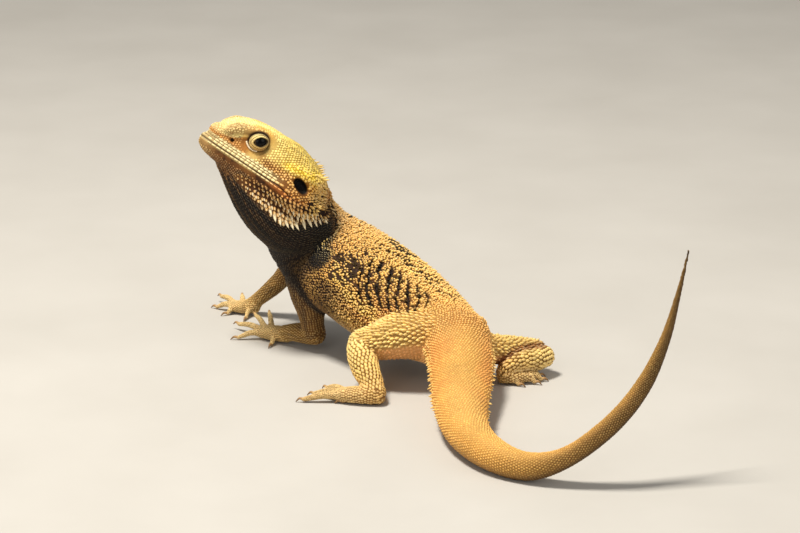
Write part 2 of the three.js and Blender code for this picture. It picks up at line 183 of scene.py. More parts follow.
class Sweep:
    """A body swept along a line. Angle 0 is the body's side and a quarter turn its top.

    A surface point is centre + side * w * cos^(2/n) + top * h * sin^(2/n), where n is 2 for
    an ellipse and more for a squarer ring, and h gives way to the depth d below the line.
    """

    def __init__(self, name, rows, up=Z_UP, over=2.0, under=2.0, spread=0.01,
                 domes=(0.8, 0.8), place=np.eye(4), inset=COAT):
        rows = np.array([r if len(r) == 6 else [*r[:4], r[3], r[3]] for r in rows], float)
        rows[:, 3:] -= np.minimum(inset, 0.25 * rows[:, 3:])
        self.name, self.rows, self.last = name, rows, len(rows) - 1
        self.up, self.over, self.under, self.spread = up, over, under, spread
        self.domes, self.place = domes, place

    def ring(self, s):
        """Centre, forward, side and top directions and the three radii at stations s."""
        here = along(self.rows, s)
        ahead = along(self.rows, np.minimum(s + self.spread, self.last))[:, :3]
        forward = unit(ahead - along(self.rows, np.maximum(s - self.spread, 0))[:, :3])
        side = unit(np.cross(self.up, forward))
        top = np.cross(forward, side)
        turn, shift = self.place[:3, :3].T, self.place[:3, 3]
        return here[:, :3] @ turn + shift, forward @ turn, side @ turn, top @ turn, here[:, 3:]

    def surface(self, s, angle, shift=0.0, share=1.0):
        """Points at stations and angles, moved forward by shift on rings of a given share."""
        centre, forward, side, top, radii = self.ring(s)
        cosine, sine = np.cos(angle), np.sin(angle)
        power = 2 / np.where(sine < 0, self.under, self.over)
        across = share * np.sign(cosine) * np.abs(cosine) ** power * radii[:, 0]
        rise = share * np.sign(sine) * np.abs(sine) ** power
        rise = rise * np.where(sine < 0, radii[:, 2], radii[:, 1])
        forward = forward * np.broadcast_to(shift, s.shape)[:, None]
        return centre + forward + side * across[:, None] + top * rise[:, None]

    def shell(self, sides=48, per_station=10):
        """The closed mesh of the body, its ends rounded by domes: points and triangles."""
        tilt = np.radians([78, 62, 46, 30, 15])
        ends = self.ring(np.array([0.0, self.last]))[4][:, :2].min(1) * self.domes
        body = np.linspace(0, self.last, per_station * self.last + 1)
        s = np.r_[0 * tilt, body, 0 * tilt + self.last]
        shift = np.r_[-ends[0] * np.sin(tilt), 0 * body, ends[1] * np.sin(tilt[::-1])]
        share = np.r_[np.cos(tilt), 0 * body + 1, np.cos(tilt[::-1])]
        angle = np.arange(sides) * 2 * np.pi / sides
        grid = [np.repeat(v, sides) for v in (s, shift, share)]
        points = self.surface(grid[0], np.tile(angle, len(s)), grid[1], grid[2])
        centre, forward = self.ring(np.array([0.0, self.last]))[:2]
        poles = centre + forward * np.array([[-ends[0]], [ends[1]]])
        return np.vstack([points, poles]), tube_faces(len(s), sides)


def tube_faces(rings, sides):
    """Triangles of a tube of rings whose two poles are the last two points."""
    k = np.arange(sides)
    following = (k + 1) % sides
    a = (np.arange(rings - 1) * sides)[:, None] + k
    b = (np.arange(rings - 1) * sides)[:, None] + following
    walls = np.stack([a, b, b + sides, a, b + sides, a + sides], -1).reshape(-1, 3)
    end = (rings - 1) * sides
    first = np.stack([0 * k + rings * sides, following, k], -1)
    final = np.stack([0 * k + rings * sides + 1, end + k, end + following], -1)
    return np.vstack([walls, first, final])


# %% [markdown]
# ## Where the head sits
# The head is built level, from the snout back, and then raised, turned and leaned. One matrix
# does that, so each detail of the face can be given in plain distances from the snout.

# %% The head's place and all swept bodies
def turned(axis, degrees):
    """The 4 by 4 matrix of a turn about one axis."""
    c, s = np.cos(np.radians(degrees)), np.sin(np.radians(degrees))
    turn = np.eye(4)
    i, j = [(1, 2), (2, 0), (0, 1)][axis]
    turn[[i, i, j, j], [i, j, i, j]] = c, -s, s, c
    return turn


head_place = turned(2, HEAD_YAW) @ turned(1, HEAD_PITCH) @ turned(0, HEAD_ROLL)
head_place[:3, 3] = SNOUT
HEAD_TURN = head_place[:3, :3].T


def from_head(p):
    """Points given behind, beside and above the snout, in the animal's frame."""
    return np.asarray(p, float) @ HEAD_TURN + SNOUT


def to_head(p):
    """Points of the animal's frame as distances behind, beside and above the snout."""
    return (p - np.array(SNOUT)) @ HEAD_TURN.T


def digit_rows(knuckle, tip, radius):
    """Rows of a toe and of its claw: the toe arches by 1 mm and the claw ends at the tip."""
    knuckle, claw_tip = np.array(knuckle, float), np.array(tip, float) + [0, 0, CLAW_THIN]
    forward = unit((claw_tip - knuckle) * [1, 1, 0])
    end = claw_tip - forward * CLAW_LENGTH
    end[2] = radius * TOE_TAPER - 0.15 + tip[2]
    bend = (knuckle + end) / 2 + [0, 0, 1]
    arch = claw_tip - forward * CLAW_LENGTH * 0.4
    arch[2] = end[2] + 0.4
    toe = [[*knuckle, radius * 1.15], [*bend, radius], [*end, radius * TOE_TAPER]]
    claw = [[*(end - forward * 0.4), 0.62], [*((end + arch) / 2 + [0, 0, 0.25]), 0.58],
            [*arch, 0.44], [*claw_tip, 0.16]]
    return toe, claw


HEAD_SWEEP = {"place": head_place, "domes": (0.5, 0.6)}
bodies = {"trunk": Sweep("trunk", TRUNK, under=2.2, spread=0.8, domes=(0.8, 1.0))}
bodies["skull"] = Sweep("skull", [[b, 0, 0, w, h, 2] for b, w, h in SKULL], over=2.6, **HEAD_SWEEP)
bodies["jaw"] = Sweep("jaw", [[b, 0, 0, w, 2, d] for b, w, d in JAW], under=2.2, **HEAD_SWEEP)
bodies["pouch"] = Sweep("pouch", [[b, 0, -drop, w, h, d] for b, drop, w, h, d in POUCH],
                        under=2.2, **HEAD_SWEEP)
for name, (up, rows) in LEGS.items():
    bodies[name] = Sweep(name, rows, up=up)
claws = []
for foot, digits in DIGITS.items():
    for number, digit in enumerate(digits):
        toe, claw = digit_rows(*digit)
        name = f"{foot}_digit_{number}"
        bodies[name] = Sweep(name, toe, domes=(0.5, 0.8), inset=0.3)
        claws.append(Sweep(name, claw, domes=(0.5, 1.0), inset=0))
print("swept bodies:", len(bodies), "claws:", len(claws))

# %% [markdown]
# ## Melting the tubes into one body
# Joining tubes with a Boolean leaves a crease at every join, and a voxel remesh rounds
# everything alike. A distance field does better: each tube becomes a block of voxels that hold
# the distance to its surface, and a smooth minimum of two blocks flows one into the other
# over a chosen width, broad at a thigh and narrow between two toes.

# %% Distance blocks
VOXEL = 0.85
BAND_VOXELS = 8
BAND = VOXEL * BAND_VOXELS


def block_of(points, triangles):
    """Signed distance round a closed mesh, as its voxels and the index of the first one."""
    grid = openvdb.FloatGrid.createLevelSetFromPolygons(
        points.astype(np.float32), triangles=triangles.astype(np.uint32),
        transform=openvdb.createLinearTransform(voxelSize=VOXEL), halfWidth=BAND_VOXELS)
    low = np.floor(points.min(0) / VOXEL).astype(int) - BAND_VOXELS - 1
    high = np.ceil(points.max(0) / VOXEL).astype(int) + BAND_VOXELS + 2
    values = np.full(high - low, BAND, np.float32)
    grid.copyToArray(values, ijk=tuple(int(v) for v in low))
    return values, low


def blank(low, high):
    """An empty block between two corners in millimetres."""
    low = np.floor(np.array(low) / VOXEL).astype(int)
    high = np.ceil(np.array(high) / VOXEL).astype(int)
    return np.full(high - low, BAND, np.float32), low


def smooth_least(a, b, width):
    """min(a, b) - width * h^2 / 4, where h = max(width - |a - b|, 0) / width."""
    h = np.maximum(width - np.abs(a - b), 0) / width
    return np.minimum(a, b) - width * h * h / 4


def melt(whole, part, width, cut=False):
    """Adds a block to a larger one with a smooth minimum, or cuts it out of it."""
    (values, low), (added, first) = whole, part
    start = np.maximum(first - low, 0)
    end = np.minimum(first - low + added.shape, values.shape)
    area = tuple(slice(a, b) for a, b in zip(start, end))
    inner = tuple(slice(a, b) for a, b in zip(start - first + low, end - first + low))
    if cut:
        values[area] = -smooth_least(-values[area], added[inner], width)
    else:
        values[area] = smooth_least(values[area], added[inner], width)


# %% Eggs, and a block read at points
def egg(centre, radii, tilt=0.0, rings=24, sides=32):
    """An egg's closed mesh: latitude and longitude on a ball, stretched, then tilted."""
    lat = np.linspace(0, np.pi, rings + 2)[1:-1]
    lon = np.arange(sides) * 2 * np.pi / sides
    a, b = np.repeat(lat, sides), np.tile(lon, rings)
    ball = np.stack([np.sin(a) * np.cos(b), np.sin(a) * np.sin(b), -np.cos(a)], -1)
    ball = np.vstack([ball, [[0, 0, -1], [0, 0, 1]]]) * radii
    return ball @ turned(1, tilt)[:3, :3].T + centre, tube_faces(rings, sides)


def sample(block, p):
    """A block read at points by weighing the eight voxels round each; far away it is BAND."""
    values, first = block
    q = p / VOXEL - first
    i = np.floor(q).astype(int)
    inside = np.all((i >= 0) & (i < np.array(values.shape) - 1), axis=1)
    i, f = i[inside], (q - i)[inside]
    total = np.zeros(len(i))
    for corner in np.ndindex(2, 2, 2):
        weight = np.prod(np.where(corner, f, 1 - f), axis=1)
        total += weight * values[tuple((i + corner).T)]
    out = np.full(len(p), BAND)
    out[inside] = total
    return out


# %% Melt the head
blocks = {name: block_of(*body.shell()) for name, body in bodies.items()}
head = blank((-118, 15, 50), (-45, 98, 112))
for name in ("skull", "jaw"):
    melt(head, blocks[name], 1.0)


def melt_egg(centre, radii, tilt, width, cut=False):
    """Melts an egg into the head, or cuts it out, over a given width."""
    points, faces = egg(centre, np.array(radii), tilt)
    melt(head, block_of(from_head(points), faces), width, cut)


for centre, radii, tilt in EGGS:
    for side in (1, -1):
        melt_egg(np.multiply(centre, [1, side, 1]), np.array(radii) - COAT - 0.3, tilt, 5.0)
for side in (1, -1):
    mirror = [1, side, 1]
    melt_egg(np.multiply([7.4, 6.2, 9.9], mirror), [4.2, 3.0, 1.9], -37, 3.0)  # nostril to eye
    melt_egg(np.multiply([2.9, 1.8, 4.7], mirror), [2.9, 2.8, 3.2], 0, 2.5)  # tip of the snout
    melt_egg(EYE * mirror, np.full(3, EYE_RADIUS + 0.2), 0, 1.6)
    melt_egg((EAR - [0, 0.9, 0]) * mirror, [3.9, 2.6, 2.2], 18, 0.8, cut=True)

# %% Melt the whole animal
animal = blank((-120, -122, -8), (94, 124, 112))
WIDTHS = {"thigh": 5, "shank": 1.6, "foot": 1.6, "upper": 4, "forearm": 1.6, "hand": 1.4}
CORE = ("trunk", "skull", "jaw", "pouch")
melt(animal, blocks["trunk"], 1.0)
melt(animal, head, 5.0)
melt(animal, blocks["pouch"], 2.6)
for name, block in blocks.items():
    if name not in CORE:
        width = 0.9 if "digit" in name else WIDTHS[name.split("_")[0]]
        melt(animal, block, 0.5 if name == "shank_right" else width)
# The soles are cut flat, a little above the floor.
floor_line = (np.arange(animal[0].shape[2]) + animal[1][2]) * VOXEL
below = np.broadcast_to(floor_line - 0.25, animal[0].shape).astype(np.float32)
animal[0][:] = -smooth_least(-animal[0], below, 0.6)
print("voxels:", animal[0].size)


# %% [markdown]
# ## The skin mesh
# The field's zero surface is meshed evenly. The back, the tail and the limbs lie under scales,
# so a Decimate modifier merges their faces and leaves the head, the folded flank and the toes
# alone. Faces on the face are split once, and twice more round the eyes. Every vertex then
# slides down the field's slope onto the true surface. A second set of points, from before the
# thinning, is kept for the scales that later fill gaps.

# %% Slide onto the surface, split and thin
def slope(p, step=0.7):
    """The field's gradient by central differences."""
    axes = np.eye(3) * step
    return np.stack([sample(animal, p + a) - sample(animal, p - a) for a in axes], -1) / (2 * step)


def settle(p, rounds=4):
    """Newton's step, repeated: p minus field times slope over slope squared."""
    for _ in range(rounds):
        g = slope(p)
        p = p - (sample(animal, p) / np.maximum((g * g).sum(1), 0.3))[:, None] * g
    return p, unit(slope(p))


def split(points, faces, wanted):
    """Cuts every edge whose middle is wanted in two, and fits two to four triangles in."""
    edges = np.sort(np.stack([faces, np.roll(faces, -1, 1)], -1).reshape(-1, 2), 1)
    edges, which = np.unique(edges, axis=0, return_inverse=True)
    middle = points[edges].mean(1)
    cut = wanted(middle)
    new = np.full(len(edges), -1)
    new[cut] = len(points) + np.arange(cut.sum())
    m = new[which.reshape(-1, 3)]
    made = [faces[(m < 0).all(1)]]
    for turn in range(3):
        v = np.roll(faces, -turn, 1)
        n = np.roll(m, -turn, 1)
        one = (n[:, 0] >= 0) & (n[:, 1] < 0) & (n[:, 2] < 0)
        two = (n[:, 0] >= 0) & (n[:, 1] >= 0) & (n[:, 2] < 0)
        made += [np.stack([v[one, 0], n[one, 0], v[one, 2]], -1),
                 np.stack([n[one, 0], v[one, 1], v[one, 2]], -1),
                 np.stack([v[two, 0], n[two, 0], v[two, 2]], -1),
                 np.stack([n[two, 0], v[two, 1], n[two, 1]], -1),
                 np.stack([n[two, 0], n[two, 1], v[two, 2]], -1)]
    v, n = faces[(m >= 0).all(1)], m[(m >= 0).all(1)]
    made += [n, np.stack([v[:, 0], n[:, 0], n[:, 2]], -1),
             np.stack([v[:, 1], n[:, 1], n[:, 0]], -1), np.stack([v[:, 2], n[:, 2], n[:, 1]], -1)]
    return np.vstack([points, middle[cut]]), np.vstack(made)


def linked(name, data):
    """A new object in the scene."""
    made = bpy.data.objects.new(name, data)
    bpy.context.scene.collection.objects.link(made)
    return made


def thinned(points, faces, free, share):
    """Merges faces by Blender's Decimate modifier where free is true, down to a share of all."""
    mesh = bpy.data.meshes.new("thinned")
    mesh.from_pydata(points, [], faces)
    made = linked("thinned", mesh)
    made.vertex_groups.new(name="free").add(np.flatnonzero(free).tolist(), 1.0, "REPLACE")
    modifier = made.modifiers.new("thin", "DECIMATE")
    modifier.ratio, modifier.vertex_group = share, "free"
    modifier.use_collapse_triangulate = True
    evaluated = made.evaluated_get(bpy.context.evaluated_depsgraph_get())
    fewer = bpy.data.meshes.new_from_object(evaluated)
    kept, corners = np.empty(len(fewer.vertices) * 3), np.empty(len(fewer.loops), np.int32)
    fewer.vertices.foreach_get("co", kept)
    fewer.loops.foreach_get("vertex_index", corners)
    bpy.data.objects.remove(made)
    bpy.data.meshes.remove(mesh)
    bpy.data.meshes.remove(fewer)
    return kept.reshape(-1, 3), corners.reshape(-1, 3).astype(int)


# %% Where fine triangles are needed
def within_head(p, rear, low):
    """True in a box of the head that ends at given distances behind and above the snout."""
    x, y, z = to_head(p).T
    return (x < rear) & (np.abs(y) < 26) & (z > low)


def near_face(p):
    """True on the face, from the snout to behind the ears."""
    return within_head(p, 52, -5)


def near_detail(p):
    """True on the head with its beard, on the hands and feet, and on the folded flank."""
    x, y, z = p.T
    hand = (x < -72) & (z < 14)
    foot = (z < 8) & (y > -26) & ((x < -40) | (x > 17))
    flank = (x < 2) & (x > -66) & (y > -8) & (y < 52) & (z > 20)
    return within_head(p, 60, -14) | hand | foot | flank


def near_eyes(reach):
    """A test that is true on both eyes' lids, up to a given distance."""
    def wanted(p):
        q = to_head(p)
        q[:, 1] = np.abs(q[:, 1])
        return np.linalg.norm(q - EYE - [0, 2.5, 0], axis=1) < reach
    return wanted


# %% Mesh the field
THINNING = 0.65  # share of the plain faces that is merged away

grid = openvdb.FloatGrid(BAND)
grid.copyFromArray(animal[0], ijk=tuple(int(v) for v in animal[1]), tolerance=0.0)
grid.transform = openvdb.createLinearTransform(voxelSize=VOXEL)
points, quads = grid.convertToQuads(isovalue=0.0)
points, quads = np.array(points, float), np.array(quads, int)
faces = np.vstack([quads[:, [0, 1, 2]], quads[:, [0, 2, 3]]])
first, second, third = (points[faces[:, k]] for k in range(3))
volume = np.einsum("ij,ij->", first, np.cross(second, third)) / 6
if volume < 0:
    faces = faces[:, ::-1]
places, place_normals = settle(split(points, faces, near_detail)[0])
plain = ~near_detail(points)
points, faces = thinned(points, faces, plain, 1 - THINNING * plain.mean())
for wanted in (near_face, near_eyes(6.5), near_eyes(5.9)):
    points, faces = split(points, faces, wanted)
skin_points, skin_normals = settle(points)
print("skin triangles:", len(faces), "volume cm3:", round(abs(volume) / 1000, 1))


# %% [markdown]
# ## Where a point is on the animal
# Markings, folds and scales all follow the body, so each needs to know how far along which
# limb it is and how far round. The nearest point of a limb's line gives the station, and the
# direction from the line gives the angle. Between two limbs their colours are weighed by
# nearness, so no line shows where they meet.

# %% Station, angle and nearness
def nearest(p, targets, chunk=20000):
    """The index of the nearest target for each point, from |p|^2 - 2 p.t + |t|^2."""
    square = (targets**2).sum(1)
    parts = [np.argmin(square - 2 * p[i:i + chunk] @ targets.T, axis=1)
             for i in range(0, len(p), chunk)]
    return np.concatenate(parts) if parts else np.zeros(0, int)


def fine_stations(body):
    """Thirty steps from each station of a body to the next."""
    return np.linspace(0, body.last, 30 * body.last + 1)


def where(body, p):
    """Station along a swept body, and angle round it, of points beside it."""
    s = fine_stations(body)
    centre, _, side, top, radii = body.ring(s)
    i = nearest(p, centre)
    offset = p - centre[i]
    rise = (offset * top[i]).sum(1)
    rise = rise / np.where(rise < 0, radii[i, 2], radii[i, 1])
    return s[i], np.arctan2(rise, (offset * side[i]).sum(1) / radii[i, 0])


# %% Noise, ramps and lengths
def lattice(cell, seed):
    """A number from 0 to 1 for each whole-number cell, mixed from its three indices."""
    x, y, z = np.moveaxis(cell.astype(np.int64), -1, 0)
    h = x * 73856093 ^ y * 19349663 ^ z * 83492791 ^ seed * 2654435761
    h = (h ^ (h >> 13)) * 1274126177 & 0xFFFFFFFF
    return ((h ^ (h >> 16)) & 0xFFFF) / 65535.0


def cloud(p, cell, seed=1):
    """Value noise: the eight lattice numbers round a point, blended smoothly."""
    q = p / cell
    i = np.floor(q)
    f = q - i
    f = f * f * (3 - 2 * f)
    total = np.zeros(len(p))
    for corner in np.ndindex(2, 2, 2):
        total += np.prod(np.where(corner, f, 1 - f), axis=1) * lattice(i + corner, seed)
    return total


def ramp(low, high, x):
    """0 below low, 1 above high, and a smooth curve 3t^2 - 2t^3 between them."""
    t = np.clip((x - low) / (high - low), 0, 1)
    return t * t * (3 - 2 * t)


def fade(low, high, x):
    """1 below low and 0 above high."""
    return 1 - ramp(low, high, x)


def bump(centre, width, x):
    """A bell of height 1 about a centre."""
    return np.exp(-(((x - centre) / width) ** 2))


def from_top(angle):
    """How far round from the top, 0 along the back and pi along the belly."""
    return np.abs((angle - np.pi / 2 + np.pi) % (2 * np.pi) - np.pi)


def walked(line):
    """Length walked along a line of points, up to each of them."""
    return np.r_[0, np.cumsum(np.linalg.norm(np.diff(line, axis=0), axis=1))]


TRUNK_STATIONS = fine_stations(bodies["trunk"])
TRUNK_LENGTH = walked(bodies["trunk"].ring(TRUNK_STATIONS)[0])


def trunk_length(s):
    """Millimetres along the long body's line at stations s."""
    return np.interp(s, TRUNK_STATIONS, TRUNK_LENGTH)


# %% [markdown]
# ## Folds of the skin
# Loose skin gathers in wavy folds across the flank, a crease parts the lips, and the lids
# stand round the eye like a thick ring. These are too fine for the solids. A bump map would
# leave the outline smooth, so they move the skin itself, and the scales go with them.

# %% Folds and wrinkles of the body
FOLD_STEP = 5.8  # from one flank fold to the next
WRINKLE_STEP = 2.9
NECK_STEP = 5.5


def waves(run, step):
    """A cosine that repeats every step along a run."""
    return np.cos(2 * np.pi * run / step)


def fold_zone(s, round_):
    """1 on the flank, where the skin is gathered; folds slant back as they go down."""
    t = s - 0.7 * round_
    along_ = ramp(3.75, 4.15, t) * fade(5.85, 6.2, t)
    return along_ * ramp(0.03, 0.22, round_) * fade(1.15, 1.45, round_)


def flank_folds(s, angle, p):
    """How deep in a fold a point of the body is, 0 to 1: narrow peaks of a warped cosine."""
    round_ = from_top(angle)
    run = trunk_length(s) - 21 * round_ + 3.6 * cloud(p, 9.0, 3) + 1.4 * cloud(p, 3.0, 5)
    patchy = ramp(0.25, 0.6, cloud(p, 6.0, 4))
    peaks = ramp(0.3, 0.75, waves(run, FOLD_STEP))
    return np.clip(peaks * fold_zone(s, round_) * (0.35 + 0.85 * patchy), 0, 1)


def wrinkles(s, angle, p):
    """Fine gathers across the back, a few scale rows apart, 0 to 1."""
    round_ = from_top(angle)
    run = trunk_length(s) - 9 * round_ + 3.0 * cloud(p, 7.0, 8) + 0.8 * cloud(p, 2.0, 9)
    here = ramp(3.4, 4.2, s) * fade(5.6, 6.4, s) * fade(1.0, 1.5, round_)
    return ramp(0.35, 0.95, waves(run, WRINKLE_STEP)) * here * ramp(0.2, 0.6, cloud(p, 5.0, 10))


def neck_folds(s, angle, p):
    """Softer folds across the neck and in front of the shoulder."""
    here = fade(2.6, 3.4, s) * ramp(0.6, 1.2, from_top(angle))
    return ramp(0.3, 1.0, waves(trunk_length(s) + 2.5 * cloud(p, 8.0, 6), NECK_STEP)) * here


# %% Relief of the face and of the whole skin
def mouth_line(q):
    """The groove between the lips: a narrow bell about mouth height, back to its corner."""
    height = q[:, 2] - np.interp(q[:, 0], [0, 25, 33, 45], [0, 0, 0.3, -2.2])
    return bump(0, 0.36, height) * fade(39, 44, q[:, 0])


def over_canthus(q):
    """Height over the sharp ridge from the nostril to the eye, and 1 along its length."""
    ridge = np.interp(q[:, 0], [4, 6, 10.6, 14], [5.4, 6.4, 8.2, 11.2])
    return q[:, 2] - ridge, ramp(4.5, 6.5, q[:, 0]) * fade(13, 15, q[:, 0])


def from_nostril(q):
    """Distance from the middle of the nostril, a hole a little longer than high."""
    return np.hypot((q[:, 0] - 8.9) * 0.85, q[:, 2] - 5.5)


def face_relief(q):
    """The canthal ridge and its groove, the nostril and its rim, folds behind the mouth."""
    over, along_ = over_canthus(q)
    out = along_ * (0.5 * bump(0.1, 0.8, over) - 0.35 * bump(1.5, 0.4, over))
    hole = from_nostril(q)
    out = out + 0.4 * bump(1.35, 0.5, hole) - 0.9 * fade(0.35, 0.9, hole)
    behind = ramp(26, 32, q[:, 0]) * fade(44, 49, q[:, 0])
    fall = q[:, 2] + np.interp(q[:, 0], [26, 34, 46], [1.4, 1.6, 4.6])
    out = out + behind * (0.4 * bump(0, 0.7, fall) - 0.3 * bump(-1.4, 0.5, fall))
    return out - 0.55 * mouth_line(q)


NEARNESS = 1.2  # millimetres over which one body gives way to the next


def closest(p):
    """The least distance to any swept body."""
    return np.min([sample(block, p) for block in blocks.values()], axis=0)


def trunk_share(p):
    """Nearness of the long body among all: exp(-distance beyond the least / NEARNESS)."""
    return np.exp(-(np.clip(sample(blocks["trunk"], p) - closest(p), 0, 20)) / NEARNESS)


def relief(p):
    """Millimetres that the skin is raised, below zero in folds."""
    out = np.zeros(len(p))
    trunk_weight = trunk_share(p)
    on = trunk_weight > 0.05
    s, angle = where(bodies["trunk"], p[on])
    depth = 1.1 * flank_folds(s, angle, p[on]) + 0.5 * neck_folds(s, angle, p[on])
    out[on] -= trunk_weight[on] * (depth + 0.4 * wrinkles(s, angle, p[on]))
    q = to_head(p)
    across = np.abs(q[:, 1])
    on = (q[:, 0] < 50) & (np.abs(q[:, 2] - 2) < 12) & (across > 1.5) & (across < 26)
    out[on] += face_relief(q[on])
    return out


# %% [markdown]
# ## Lids
# A bearded dragon's lids are thick, pale and cut by a crease all round, darkened with painted
# shade, and leave a small almond open. The skin round each eye is laid on a ball about the
# eye's centre: out to the lid's surface beyond the almond, and in behind the eyeball within it.

# %% Lids round the eyes
EYE_AXIS = unit(np.array([-0.14, 1.0, 0.05]))
OPEN_TILT = -34  # degrees the almond is turned from the mouth line
OPEN_HALF = (2.85, 1.85)
CREASE_HALF = (4.7, 3.9)
OPEN_SHIFT = 0.9  # how far behind the middle of the lids the almond lies
ALMOND = 1.7  # power of its outline: 2 is an ellipse and 1 a rhombus


def eye_axes():
    """The almond's long and high directions across the eye's axis, in the head's frame."""
    across = unit(np.cross(EYE_AXIS, [0, 0, 1]))
    upward = np.cross(across, EYE_AXIS)
    upward = upward * np.sign(upward[2])
    back = across * np.sign(across[0])
    c, s = np.cos(np.radians(OPEN_TILT)), np.sin(np.radians(OPEN_TILT))
    return c * back - s * upward, c * upward + s * back


def eye_plane(p, side):
    """Distance from an eye's centre, and the arc from its axis along both ways: radius * angle."""
    q = (to_head(p) - EYE * [1, side, 1]) * [1, side, 1]
    length = np.linalg.norm(q, axis=1)
    ray = q / np.maximum(length, 1e-6)[:, None]
    facing = np.clip(ray @ EYE_AXIS, -1, 1)
    long_way, high_way = eye_axes()
    arc = EYE_RADIUS * np.arccos(facing) / np.maximum(np.sqrt(1 - facing**2), 1e-6)
    return length, arc * (ray @ long_way), arc * (ray @ high_way), facing


def opening(u, v):
    """1 on the lids' edge, less within the almond: |u/a|^n + |v/b|^n to the power 1/n."""
    long_, high = np.abs((u - OPEN_SHIFT) / OPEN_HALF[0]), np.abs(v / OPEN_HALF[1])
    return (long_**ALMOND + high**ALMOND) ** (1 / ALMOND)


def crease(u, v):
    """1 along the dark crease round the lids."""
    return np.hypot(u / CREASE_HALF[0], v / CREASE_HALF[1])


def lid_height(u, v):
    """Height of the lid above the eyeball: a bead at the edge, a fold and a swell."""
    q, r = opening(u, v), crease(u, v)
    edge = 0.5 * bump(1.16, 0.16, q)
    swell = 0.62 * np.sqrt(np.clip(1 - ((r - 0.72) / 0.36) ** 2, 0, 1))
    fold = -0.25 * bump(1.46, 0.07, q)
    inside = fade(0.93, 1.06, q)
    return (0.18 + np.maximum(edge, swell) + fold) * (1 - inside) - 1.2 * inside


def open_lids(p):
    """Moves skin near each eye onto the lids' surface, fading out beyond the crease."""
    for side in (1, -1):
        length, u, v, facing = eye_plane(p, side)
        near = (facing > 0.1) & (length < 8)
        reach = fade(1.0, 1.25, crease(u, v))
        target = EYE_RADIUS + lid_height(u, v)
        length = np.maximum(length, 1e-6)
        factor = np.where(near, reach, 0) * (target / length - 1)
        centre = from_head(EYE * [1, side, 1])
        p = p + (p - centre) * factor[:, None]
        ditch = 0.55 * bump(1.10, 0.12, crease(u, v)) * near
        p = p - (p - centre) / length[:, None] * ditch[:, None]
    return p


skin_shape = open_lids(skin_points + skin_normals * relief(skin_points)[:, None])
skin_shape[:, 2] = np.maximum(skin_shape[:, 2], 0.05)
print("deepest fold mm:", round(float(np.linalg.norm(skin_shape - skin_points, axis=1).max()), 2))


# %% [markdown]
# ## Markings
# The colours run from lemon on the crown through gold on the back to brown at the tail's end,
# with dark brown in the folds, behind the ears and along the throat: partly the animal's own
# colour and partly painted shade. They could be painted by hand; here each body has a short
# table of colours along its line and round it, so the skin and every scale read the same
# markings at their own place.

# %% Colour tables of the body
def srgb(*rgb):
    """A colour given from 0 to 255 as the eye sees it, in linear light."""
    c = np.array(rgb, float).reshape(-1, 3) / 255
    return np.where(c <= 0.04045, c / 12.92, ((c + 0.055) / 1.055) ** 2.4)


def table(x, stops, colours):
    """Colours between stops, channel by channel."""
    colours = srgb(*colours)
    return np.stack([np.interp(x, stops, colours[:, k]) for k in range(3)], -1)


def mix(a, b, t):
    """a where t is 0, b where t is 1."""
    t = np.clip(t, 0, 1)[:, None]
    return a * (1 - t) + b * t


def layered(colour, *layers):
    """Colours from 0 to 255 laid over one another in turn, each with its share."""
    for rgb, share in layers:
        colour = mix(colour, srgb(*rgb), share)
    return colour


STOPS = [0, 2, 3.2, 4.2, 5.2, 6.4, 7.5, 9, 10.5, 12, 13, 14, 16, 19]
BACK = [(172, 130, 70), (200, 154, 84), (230, 182, 102), (246, 198, 110), (250, 204, 116),
        (244, 196, 110), (228, 180, 100), (226, 178, 96), (228, 182, 102), (230, 183, 100),
        (224, 177, 96), (208, 162, 88), (180, 140, 72), (124, 94, 48)]
FLANK = [(126, 92, 50), (154, 116, 64), (206, 158, 86), (244, 194, 104), (248, 200, 108), (240, 190, 104),
         (234, 172, 92), (236, 174, 88), (240, 184, 96), (230, 176, 92), (206, 160, 84), (160, 124, 66),
         (126, 98, 52), (102, 77, 41)]
# The belly's tan, darkened with painted shade under the body.
BELLY = [(90, 70, 42), (96, 74, 44), (122, 92, 56), (170, 128, 76), (202, 160, 102), (218, 174, 118),
         (214, 166, 108), (200, 148, 88), (186, 136, 76), (166, 124, 68), (134, 102, 56), (106, 80, 44),
         (88, 66, 38), (74, 56, 32)]
# How bright the skin between the scales is, as a share of the marking, at the same stops;
# its darkness is partly the skin's own and partly painted shade in the gaps.
GROUND = [0.16, 0.12, 0.08, 0.07, 0.12, 0.34, 0.6, 0.66, 0.7, 0.7, 0.62, 0.55, 0.5, 0.5]


def shoulder_dark(s, round_):
    """How black the ground is: most on the shoulder and round the neck, some in the folds."""
    neck = 0.7 * fade(2.6, 4.0, s) * (0.5 + 0.5 * ramp(0.1, 0.7, round_))
    neck = neck * fade(0.9, 1.2, round_)
    patch = np.clip(1.5 * bump(4.15, 0.5, s) * bump(0.78, 0.38, round_), 0, 1)
    return np.maximum(np.maximum(neck, patch), 0.45 * fold_zone(s, round_))


